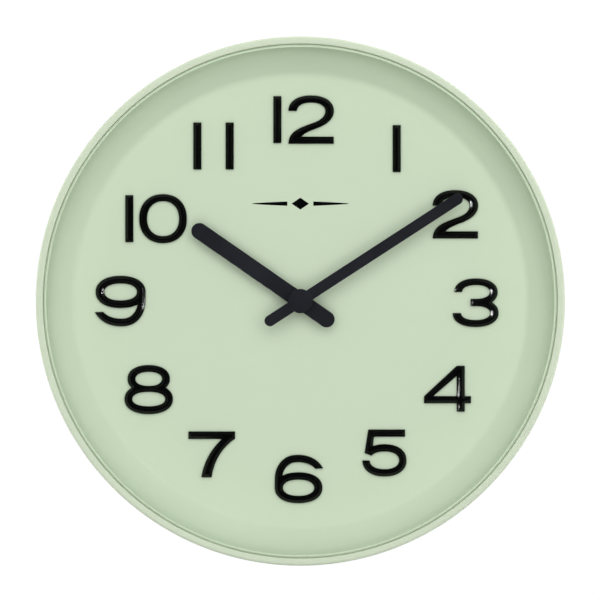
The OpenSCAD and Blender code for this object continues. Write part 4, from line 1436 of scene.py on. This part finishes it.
@dataclass
class Dial:
    """The dished dial moulding: a flat middle, a swept border, a rim and a skirt behind it.

    The slopes are (radius, angle in degrees) along the swept border, and the rim section is
    (distance inside the outer radius, distance below the rim).
    """

    radius: float = 145.0
    face: float = 24.5
    thickness: float = 2.2
    rim: float = 41.3
    hole: float = 4.1
    skirt: float = 1.8
    foot: float = 22.0
    slopes: tuple[tuple[float, float], ...] = (
        (127.3, 0.0), (128.6, 9.0), (130.4, 27.0), (131.6, 32.0), (135.0, 34.0), (138.0, 40.0),
        (140.6, 49.0), (142.4, 64.0), (143.95, 75.0))
    border_top: float = 0.14
    samples: int = 1200
    softening: int = 45
    flat_rings: tuple[float, ...] = (20.0, 45.0, 70.0, 95.0, 115.0)
    rim_section: tuple[Point, ...] = (
        (0.88, 0.03), (0.6, 0.0), (0.26, 0.06), (0.08, 0.24), (0.0, 0.5), (-0.02, 0.8),
        (-0.5, 0.92), (-0.5, 3.6), (0.0, 4.2))
    boss_radius: float = 3.4
    boss_height: float = 5.5

    def curve(self) -> list[tuple[float, float, float]]:
        """Work out the swept border from its slopes, scaled to end just under the rim.

        Returns:
            (radius, height, slope in degrees) along the border, from the middle outwards.
        """
        at, angles = np.array(self.slopes).T
        radii = np.linspace(at[0], at[-1], self.samples)
        lean = np.interp(radii, at, angles)
        soft = np.exp(-np.linspace(-2, 2, 2 * self.softening + 1) ** 2)
        lean = np.convolve(np.pad(lean, self.softening, mode="edge"), soft / soft.sum(), mode="valid")
        rise = np.concatenate([[0], np.cumsum(np.tan(np.radians(lean[:-1])) * np.diff(radii))])
        rise *= (self.rim - self.border_top - self.face) / rise[-1]
        keep = [0]
        for k in range(1, len(radii)):
            if radii[k] - radii[keep[-1]] + 0.3 * (rise[k] - rise[keep[-1]]) > 0.5:
                keep.append(k)
        keep = keep[:-1] + [len(radii) - 1]
        return [(float(radii[k]), self.face + float(rise[k]), float(lean[k])) for k in keep]

    def profile(self) -> list[Point]:
        """Give the closed section of the dial.

        Returns:
            The points, from the middle over the front to the rim and back behind the dial.
        """
        curve = self.curve()
        under = [(r, z - self.thickness / math.cos(math.radians(a)))
                 for r, z, a in reversed(curve) if r < self.radius - self.skirt - 0.3]
        top = [(r, self.face) for r in (self.hole, *self.flat_rings)] + [(r, z) for r, z, _ in curve]
        rim = [(self.radius - inside, self.rim - below) for inside, below in self.rim_section]
        outer, inner, c = self.radius, self.radius - self.skirt, 0.2
        back = [(outer, self.foot + c), (outer - c, self.foot), (inner + c, self.foot),
                (inner, self.foot + c), (inner, under[0][1])]
        return top + rim + back + under + [(self.hole, self.face - self.thickness)]

    def build(self, paint: Paintbox, ring: RingOfPieces) -> None:
        """Build the dial with its bosses and dress it.

        Args:
            paint: the finishes.
            ring: the tree that sets copies round the axis.
        """
        finish = paint.material("dial_plastic")
        plate = lathe("dial_plate", self.profile(), 360, sharp=32.0)
        low, high = self.foot, self.foot + self.boss_height
        boss = lathe("dial_boss", [(SCREW_HOLE, low), (self.boss_radius, low),
                                   (self.boss_radius, high), (SCREW_HOLE, high)], 40)
        bosses = ring.place("dial_bosses_behind", boss, finish, SCREW_COUNT, DIAL_SCREW_RING,
                            DIAL_SCREWS_FROM)
        piece = joined("dial_moulding", plate, bosses)
        paint.dress(piece, "dial_plastic", Body.CASE, "dial")


@dataclass
class Numerals:
    """The twelve raised numerals, each with sloped flanks and a flat front."""

    base: float = 24.46
    rise_to: float = 27.5
    section: EdgeProfile = EdgeProfile(rounding=0.35, slope=43.0, slope_to=1.65, flat_from=2.1)
    blur: float = 0.2
    step: float = 0.34

    def build(self, paint: Paintbox) -> None:
        """Build every numeral from its outline and dress it.

        Args:
            paint: the finishes.
        """
        for n in range(1, 13):
            outline = Outline.of_front(f"numeral_{n}").smoothed(self.step, self.blur)
            plate = DomedPlate(outline, self.base, self.rise_to, self.section)
            piece = plate.build(f"numeral_{n}_gloss")
            paint.dress(piece, "numeral_gloss", Body.CASE, f"numeral_{n}")


@dataclass
class Hand:
    """A flat hand with round ends, a hub and a collar behind it.

    The turn is in degrees anticlockwise from 12, low and high are the blade's back and front, and
    the collar is (radius, lowest height). A cap is a thin disc on the hub; 0 leaves it out.
    """

    name: str
    body: Body
    width: float
    reach: float
    tail: float
    hub: float
    turn: float
    low: float
    high: float
    bore: float
    collar: tuple[float, float]
    cap: float = 0.0
    edge: float = 0.35
    step: float = 0.4
    blur: float = 0.12
    spacing: float = 0.8

    def outline(self) -> Outline:
        """Give the hand's outline.

        Returns:
            A bar with round ends joined to a disc, turned to the time shown at rest.
        """
        half, hub = self.width / 2, self.hub / 2
        meet = math.degrees(math.asin(half / hub))
        right = arc((0, 0), hub, -90 + meet, 90 - meet, 40)
        top = arc((0, self.reach - half), half, 0, 180, 28)
        left = arc((0, 0), hub, 90 + meet, 270 - meet, 40)
        bottom = arc((0, half - self.tail), half, 180, 360, 28)
        loop = np.array(right + top + left + bottom)
        t = math.radians(self.turn)
        spin = np.array([[math.cos(t), -math.sin(t)], [math.sin(t), math.cos(t)]])
        return Outline([loop @ spin.T]).smoothed(self.step, self.blur)

    def hub_cap(self) -> bpy.types.Object:
        """Build the thin disc on the hub.

        Returns:
            The disc, closed over the arbor.
        """
        r, low, top = self.hub / 2, self.high - 0.6, self.high + self.cap
        return lathe(f"{self.name}_hub_cap", [
            (0.0, low), (r - 0.05, low), (r - 0.05, top - 0.2), (r - 0.11, top - 0.06),
            (r - 0.25, top), (r * 0.5, top), (0.0, top)], 128)

    def build(self, paint: Paintbox) -> None:
        """Build the hand and dress it.

        Args:
            paint: the finishes.
        """
        plate = DomedPlate(self.outline(), self.low, self.high, EdgeProfile(self.edge), self.spacing)
        blade = plate.build(f"{self.name}_blade")
        collar_r, collar_low = self.collar
        collar_high = self.low + 0.05
        sleeve = lathe(f"{self.name}_sleeve", [
            (self.bore, collar_low), (collar_r - 0.2, collar_low), (collar_r, collar_low + 0.2),
            (collar_r, collar_high), (self.bore, collar_high)], 64)
        paint.dress(blade, "hand_paint", self.body, self.name)
        paint.dress(sleeve, "hand_paint", self.body)
        if self.cap:
            paint.dress(self.hub_cap(), "hand_paint", self.body)


HANDS = (
    Hand("hour_hand", Body.HOUR, width=9.3, reach=74.5, tail=22.8, hub=13.0, turn=-304.75,
         low=30.0, high=31.2, bore=2.5, collar=(4.0, 28.6)),
    Hand("minute_hand", Body.MINUTE, width=6.3, reach=109.6, tail=23.7, hub=13.8, turn=-57.0,
         low=33.4, high=34.6, bore=1.5, collar=(2.7, 31.8), cap=0.3),
)


@dataclass
class PrintedOrnament:
    """A small printed ornament on the dial: two tapering lines and a lozenge between them.

    The lozenge is given by its half width and half height.
    """

    height: float = 55.6
    half_width: float = 27.5
    line: float = 1.15
    line_end: float = 0.08
    taper: float = 0.7
    gap: float = 7.4
    lozenge: tuple[float, float] = (5.0, 3.4)
    low: float = 24.5
    high: float = 24.56

    def shapes(self) -> list[list[Point]]:
        """Give the outlines of the two lines and of the lozenge.

        Returns:
            One closed outline for each.
        """
        found = []
        for side in (-1, 1):
            upper = [(side * (self.gap + (self.half_width - self.gap) * t),
                      self.height + self.line * (1 - t) ** self.taper + self.line_end)
                     for t in np.linspace(0, 1, 25)]
            lower = [(x, 2 * self.height - y) for x, y in reversed(upper)]
            found.append(upper + lower)
        a, b = self.lozenge
        found.append([(a, self.height), (0, self.height + b), (-a, self.height), (0, self.height - b)])
        return found

    def build(self, paint: Paintbox) -> None:
        """Build the ornament as a thin layer of ink and dress it.

        Args:
            paint: the finishes.
        """
        verts, faces = [], []
        for shape in self.shapes():
            n, first = len(shape), len(verts)
            if Outline.area(np.array(shape)) < 0:
                shape = shape[::-1]
            verts += [world(x, y, height) for height in (self.high, self.low) for x, y in shape]
            faces.append([first + k for k in range(n)])
            faces.append([first + n + k for k in reversed(range(n))])
            for k in range(n):
                following = (k + 1) % n
                faces.append([first + k, first + n + k, first + n + following, first + following])
        mesh = mesh_of("dial_ornament", verts, faces)
        turned_out(mesh)
        mesh.set_sharp_from_angle(angle=math.radians(30))
        paint.dress(new_piece("dial_ornament", mesh), "numeral_gloss", Body.CASE)


@dataclass
class Screws:
    """Self-tapping screws set round a ring, each turned its own way.

    The slot is (half length, half width) of one arm of the driver's cross.
    """

    head: float = 2.6
    head_depth: float = 1.4
    shank: float = 1.2
    thread_depth: float = 0.28
    pitch: float = 0.8
    slot: tuple[float, float] = (1.56, 0.3)
    slot_depth: float = 0.84
    slot_taper: float = 0.8
    cover_length: float = 8.0
    cover_seat: float = 3.2
    dial_length: float = 9.0
    dial_seat: float = 19.8
    turn_range: float = 90.0

    def screw(self, length: float) -> bpy.types.Object:
        """Build a screw around the axis of the hands, its head below height 0.

        Args:
            length: length of the shank in millimetres.

        Returns:
            The screw, with a domed head and a thread.
        """
        h, d = self.head, self.head_depth
        head = [(0.0, -d + 0.02), (0.7, -d), (1.7, -d + 0.06), (h - 0.45, -d + 0.28),
                (h - 0.12, -d + 0.62), (h, -d + 1.0), (h, -0.05), (h - 0.05, 0.0)]
        root = self.shank - self.thread_depth
        thread: list[Point] = [(self.shank - 0.25, 0.0)]
        z = 0.35
        while z < length - 1.2:
            thread += [(root, z), (self.shank, z + self.pitch * 0.4), (root, z + self.pitch * 0.75)]
            z += self.pitch
        tip = [(self.shank - 0.4, length - 0.8), (0.25, length - 0.05), (0.0, length)]
        return lathe("screw", head + thread + tip, 36, sharp=40.0)

    def cutter(self, turn: float) -> bpy.types.Object:
        """Build the tapered block that cuts one arm of the cross.

        Args:
            turn: its angle about the screw in degrees.

        Returns:
            The block.
        """
        length, half = self.slot
        c, s = math.cos(math.radians(turn)), math.sin(math.radians(turn))
        corners = []
        above, floor = -self.head_depth - 1.0, -self.head_depth + self.slot_depth
        for z, taper in ((above, 1.0), (floor, self.slot_taper)):
            for x, y in ((-length, -half), (length, -half), (length, half), (-length, half)):
                corners.append(world((x * c - y * s) * taper, (x * s + y * c) * taper, z))
        mesh = mesh_of("cutter", corners, [(0, 1, 2, 3), (7, 6, 5, 4), (0, 4, 5, 1), (1, 5, 6, 2),
                                           (2, 6, 7, 3), (3, 7, 4, 0)])
        turned_out(mesh)
        return new_piece("cutter", mesh)

    def cross(self, obj: bpy.types.Object) -> bpy.types.Object:
        """Cut the driver's cross into the head.

        Args:
            obj: the screw.

        Returns:
            The same screw, with the cross cut.
        """
        tools = [self.cutter(turn) for turn in (0, 90)]
        for tool in tools:
            cut = obj.modifiers.new("cross", "BOOLEAN")
            cut.operation = "DIFFERENCE"
            cut.solver = "EXACT"
            cut.object = tool
        baked(obj)
        for tool in tools:
            bpy.data.objects.remove(tool)
        obj.data.set_sharp_from_angle(angle=math.radians(32))
        return obj

    def lifted(self, obj: bpy.types.Object, height: float) -> bpy.types.Object:
        """Move a screw's mesh out of the wall.

        Args:
            obj: the screw.
            height: height in millimetres at which its head rests.

        Returns:
            The same screw.
        """
        for vertex in obj.data.vertices:
            vertex.co.y -= height * MM
        return obj

    def build(self, paint: Paintbox, ring: RingOfPieces) -> None:
        """Build the cover's screws and the dial's screws and dress them.

        Args:
            paint: the finishes.
            ring: the tree that sets copies round the axis.
        """
        steel = paint.material("screw_steel")
        for node, length, seat, reach, first, seed in (
                ("cover_screws", self.cover_length, self.cover_seat, COVER_SCREW_RING, COVER_SCREWS_FROM, 11),
                ("dial_screws", self.dial_length, self.dial_seat, DIAL_SCREW_RING, DIAL_SCREWS_FROM, 23)):
            screw = self.lifted(self.cross(self.screw(length)), seat)
            piece = ring.place(f"{node}_steel", screw, steel, SCREW_COUNT, reach, first,
                               self.turn_range, seed)
            paint.dress(piece, "screw_steel", Body.CASE, node)


@dataclass
class Hanger:
    """The keyhole plate on the rear cover and its two screws."""

    plate_rounding: float = 0.22
    screw_rounding: float = 0.12

    def build(self, paint: Paintbox) -> None:
        """Ease the plate's and the screws' edges and dress them.

        Args:
            paint: the finishes.
        """
        plate = eased("hanger_plate", "hanger_plate_steel", self.plate_rounding)
        paint.dress(plate, "plate_steel", Body.CASE, "hanger_plate")
        screws = eased("hanger_screws", "hanger_screws_steel", self.screw_rounding)
        paint.dress(screws, "screw_steel", Body.CASE, "hanger_screws")


@dataclass
class RearCover:
    """The round cover behind the ring, with the movement's window and the keyhole's window."""

    rounding: float = 0.35

    def build(self, paint: Paintbox) -> None:
        """Ease the cover's edges and dress it.

        Args:
            paint: the finishes.
        """
        cover = eased("rear_cover", "rear_cover_moulding", self.rounding)
        paint.dress(cover, "cover_plastic", Body.CASE, "rear_cover")


@dataclass
class Movement:
    """The quartz movement: its case, what clamps it, the setting knob and the battery's contacts."""

    case_rounding: float = 0.3
    turned_rounding: float = 0.12
    knob_rounding: float = 0.2
    strip_rounding: float = 0.08

    def build(self, paint: Paintbox) -> None:
        """Ease the edges of what shows of the movement and dress it.

        Args:
            paint: the finishes.
        """
        for node in ("movement_front", "movement_back"):
            case = eased(node, f"{node}_moulding", self.case_rounding)
            paint.dress(case, "movement_plastic", Body.CASE, node)
        for node in ("threaded_bush", "bush_nut", "bush_washer"):
            turned = eased(node, f"{node}_turned", self.turned_rounding)
            paint.dress(turned, "bush_brass", Body.CASE, node)
        knob = eased("setting_knob", "setting_knob_moulding", self.knob_rounding)
        paint.dress(knob, "knob_plastic", Body.KNOB, "setting_knob")
        for node in ("contact_positive", "contact_negative"):
            strip = eased(node, f"{node}_strip", self.strip_rounding)
            paint.dress(strip, "contact_steel", Body.CASE, node)


@dataclass
class Battery:
    """The AA cell: a steel can with its cap, and the printed sleeve round it."""

    y: float = -19.6
    z: float = 12.75
    low_x: float = -24.95
    high_x: float = 25.55
    cap: float = 1.4
    cap_r: float = 2.6
    radius: float = 7.1
    sleeve: float = 0.2
    foot_r: float = 4.2
    foot_depth: float = 0.35
    groove_depth: float = 0.35

    def can(self) -> bpy.types.Object:
        """Turn the steel can with its recessed foot, grooved shoulder and cap.

        Returns:
            The can.
        """
        r, c = self.radius - self.sleeve, self.cap_r
        foot, shoulder, tip = self.low_x, self.high_x - self.cap, self.high_x
        return lathe("battery_can", [
            (0.0, foot + self.foot_depth), (self.foot_r, foot + self.foot_depth), (self.foot_r + 0.5, foot),
            (r - 0.5, foot), (r - 0.15, foot + 0.12), (r, foot + 0.5), (r, shoulder - 0.5),
            (r - 0.15, shoulder - 0.12), (r - 0.5, shoulder), (r - 1.2, shoulder),
            (r - 1.4, shoulder - self.groove_depth), (c + 0.5, shoulder - self.groove_depth),
            (c + 0.2, shoulder), (c, shoulder + 0.2), (c, tip - 0.35), (c - 0.1, tip - 0.1),
            (c - 0.35, tip), (0.0, tip)], 96, sharp=32.0, axis="x", at=(0.0, self.y, self.z))

    def wrap(self) -> bpy.types.Object:
        """Turn the sleeve that lies on the can.

        Returns:
            The sleeve.
        """
        inner, outer = self.radius - self.sleeve, self.radius
        low, high = self.low_x + 0.4, self.high_x - self.cap - 0.1
        return lathe("battery_wrap", [
            (inner, low + 0.1), (inner + 0.05, low), (outer - 0.06, low), (outer, low + 0.12),
            (outer, high - 0.12), (outer - 0.06, high), (inner + 0.05, high), (inner, high - 0.1)],
            96, sharp=40.0, axis="x", at=(0.0, self.y, self.z))

    def build(self, paint: Paintbox) -> None:
        """Turn the can and the sleeve and dress them.

        Args:
            paint: the finishes.
        """
        paint.dress(self.can(), "cell_can", Body.BATTERY, "battery_cell")
        paint.dress(self.wrap(), "cell_sleeve", Body.BATTERY, "battery_sleeve")


class PlainNodes:
    """CAD nodes that keep their own mesh and only take a finish."""

    def build(self, paint: Paintbox) -> None:
        """Give every node that is still shown the material of its slot.

        Args:
            paint: the finishes.
        """
        slots = {part["node"]: part["material_slot"] for part in frame["record"]["subparts"]}
        for node, obj in frame["nodes"].items():
            if obj.hide_render:
                continue
            material = paint.material(slots[node])
            for slot in obj.material_slots:
                slot.material = material
            if not obj.material_slots:
                obj.data.materials.append(material)
            log.info("%s keeps its mesh, finish %s", node, slots[node])


# ---------------------------------------------------------------- the studio


CLOCK_CENTRE = (0.0, -0.03, 0.0)


@dataclass(frozen=True)
class Softbox:
    """A rectangular light that looks at the clock.

    The place and the (width, height) are metres and the power is watts. Where only is given, the
    light reaches just the pieces whose names start with it.
    """

    name: str
    place: tuple[float, float, float]
    size: tuple[float, float]
    power: float
    shows_in: Shows = Shows.BOTH
    only: str = ""

    def hang(self) -> None:
        """Put the light into the scene."""
        lamp = bpy.data.lights.new(self.name, "AREA")
        lamp.shape = "RECTANGLE"
        lamp.size, lamp.size_y = self.size
        lamp.energy = self.power
        obj = bpy.data.objects.new(self.name, lamp)
        obj.location = self.place
        way = Vector(CLOCK_CENTRE) - Vector(self.place)
        obj.rotation_euler = way.to_track_quat("-Z", "Y").to_euler()
        obj.visible_glossy = self.shows_in is not Shows.DIFFUSE
        obj.visible_diffuse = self.shows_in is not Shows.GLOSS
        if self.only:
            lit = bpy.data.collections.new(f"{self.name}_lights")
            for piece in bpy.data.objects:
                if piece.type == "MESH" and piece.name.startswith(self.only) and not piece.hide_render:
                    lit.objects.link(piece)
            obj.light_linking.receiver_collection = lit
        bpy.context.scene.collection.objects.link(obj)


STREAK_POWERS = ((2, -1, 330.0), (3, -1, 360.0), (4, -1, 110.0), (9, 1, 110.0))
LIGHTS = (
    Softbox("key_above", (0.12, -1.5, 1.0), (2.0, 1.3), 11.2, Shows.DIFFUSE),
    Softbox("front", (0.0, -2.6, 0.1), (1.7, 1.5), 6.5, Shows.DIFFUSE),
    Softbox("fill_low", (0.0, -2.0, -1.1), (1.7, 0.9), 7.5, Shows.DIFFUSE),
    Softbox("fill_left", (-1.3, -1.8, 0.1), (0.9, 1.5), 4.2, Shows.DIFFUSE),
    Softbox("fill_right", (1.3, -1.8, 0.1), (0.9, 1.5), 6.2, Shows.DIFFUSE),
    Softbox("rim_above", (0.0, 0.2, 1.5), (1.4, 0.5), 8.0, Shows.DIFFUSE),
    Softbox("rim_below", (0.0, 0.2, -1.5), (1.4, 0.5), 18.0, Shows.DIFFUSE),
    Softbox("rim_left", (-1.5, 0.2, 0.0), (0.5, 1.4), 9.0, Shows.DIFFUSE),
    Softbox("rim_right", (1.5, 0.2, 0.0), (0.5, 1.4), 9.0, Shows.DIFFUSE),
    *(Softbox(f"streak_{number}", (1.2 * side, -0.110, -0.3), (0.02, 3.0), power, Shows.GLOSS,
              f"numeral_{number}") for number, side, power in STREAK_POWERS),
    Softbox("behind_high", (0.7, 1.7, 1.1), (1.8, 1.2), 13.0),
    Softbox("behind_side", (-1.5, 1.5, 0.2), (1.0, 1.6), 8.0),
)


@dataclass
class Studio:
    """A plain pale floor, soft lights and the camera, in metres.

    The ambient light falls on surfaces. Gloss sees a dark front and a bright side behind the
    clock, from the wall's plane up to the direction gloss_turn.
    """

    floor_z: float = -0.60
    floor_half: float = 3.0
    floor_cells: int = 12
    floor_glow: float = 0.42
    camera_distance: float = 2.358
    lens: float = 249.8
    sensor: float = 36.0
    shift: tuple[float, float] = (-0.0005, 0.0018)
    lip: float = 0.042
    ambient: float = 0.36
    gloss_front: float = 0.012
    gloss_behind: float = 0.62
    gloss_turn: float = 0.35
    backdrop: float = 1.02

    def surroundings(self) -> None:
        """Make the world: white behind the clock, dim light on surfaces and dimmer in gloss."""
        sky = bpy.data.worlds.new("studio")
        sky.use_nodes = True
        tree = sky.node_tree
        tree.nodes.clear()
        path = tree.nodes.new("ShaderNodeLightPath")
        shades = []
        for strength in (self.ambient, self.gloss_front, self.backdrop):
            shade = tree.nodes.new("ShaderNodeBackground")
            shade.inputs["Color"].default_value = (1.0, 1.0, 1.0, 1.0)
            shade.inputs["Strength"].default_value = strength
            shades.append(shade)
        way = tree.nodes.new("ShaderNodeTexCoord")
        split = tree.nodes.new("ShaderNodeSeparateXYZ")
        rise = tree.nodes.new("ShaderNodeMapRange")
        for name, value in (("From Min", 0.0), ("From Max", self.gloss_turn),
                            ("To Min", self.gloss_front), ("To Max", self.gloss_behind)):
            rise.inputs[name].default_value = value
        surfaces, gloss, view = shades
        tree.links.new(way.outputs["Generated"], split.inputs["Vector"])
        tree.links.new(split.outputs["Y"], rise.inputs["Value"])
        tree.links.new(rise.outputs["Result"], gloss.inputs["Strength"])
        below = surfaces
        for ray, shade in (("Is Glossy Ray", gloss), ("Is Camera Ray", view)):
            either = tree.nodes.new("ShaderNodeMixShader")
            tree.links.new(path.outputs[ray], either.inputs[0])
            tree.links.new(below.outputs[0], either.inputs[1])
            tree.links.new(shade.outputs[0], either.inputs[2])
            below = either
        out = tree.nodes.new("ShaderNodeOutputWorld")
        tree.links.new(below.outputs[0], out.inputs["Surface"])
        bpy.context.scene.world = sky

    def floor_paint(self) -> bpy.types.Material:
        """Mix the floor's pale paint, with a faint glow in place of the room's light.

        Returns:
            The finished material.
        """
        r = Recipe("floor_paint")
        cloud = r.noise(scale=3.0, detail=4.0, rough=0.5)
        tone = r.ramp(cloud, "Fac", low=0.3, high=0.7)
        body = r.blend(tone, "Result", (0.80, 0.80, 0.79), (0.84, 0.84, 0.83))
        rough = r.ramp(cloud, "Fac", 0.3, 0.7, 0.6, 0.75)
        grain = r.bump(r.noise(scale=400.0), "Fac", height=0.0001, strength=0.3)
        return r.finish(body, rough, grain, Emission_Color=(1.0, 1.0, 1.0, 1.0),
                        Emission_Strength=self.floor_glow)

    def floor(self) -> None:
        """Lay the floor well below the clock."""
        n = self.floor_cells + 1
        steps = [self.floor_half * (2 * k / self.floor_cells - 1) for k in range(n)]
        verts = [(x, y, self.floor_z) for y in steps for x in steps]
        faces = [(j * n + i, j * n + i + 1, (j + 1) * n + i + 1, (j + 1) * n + i)
                 for j in range(self.floor_cells) for i in range(self.floor_cells)]
        obj = new_piece("studio_floor", mesh_of("studio_floor", verts, faces))
        obj.data.materials.append(self.floor_paint())
        obj.visible_glossy = False
        obj.visible_diffuse = False

    def camera(self) -> None:
        """Set the camera straight in front of the clock."""
        lens = bpy.data.cameras.new("camera")
        lens.lens = self.lens
        lens.sensor_width = self.sensor
        lens.shift_x, lens.shift_y = self.shift
        obj = bpy.data.objects.new("camera", lens)
        obj.location = (0.0, -self.lip - self.camera_distance, 0.0)
        obj.rotation_euler = (math.pi / 2, 0.0, 0.0)
        bpy.context.scene.collection.objects.link(obj)
        bpy.context.scene.camera = obj

    def build(self) -> None:
        """Set up everything round the clock."""
        self.floor()
        for light in LIGHTS:
            light.hang()
        self.surroundings()
        self.camera()
        view = bpy.context.scene.view_settings
        view.view_transform = "Standard"
        view.look = "None"


def main() -> None:
    """Build the clock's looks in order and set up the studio."""
    logging.basicConfig(level=logging.INFO, format="%(name)s: %(message)s", stream=sys.stdout)
    paint = Paintbox()
    ring = RingOfPieces()
    CaseRing().build(paint, ring)
    Dial().build(paint, ring)
    PrintedOrnament().build(paint)
    Numerals().build(paint)
    for hand in HANDS:
        hand.build(paint)
    Screws().build(paint, ring)
    Hanger().build(paint)
    RearCover().build(paint)
    Movement().build(paint)
    Battery().build(paint)
    PlainNodes().build(paint)
    Studio().build()


if __name__ == "__main__":
    main()
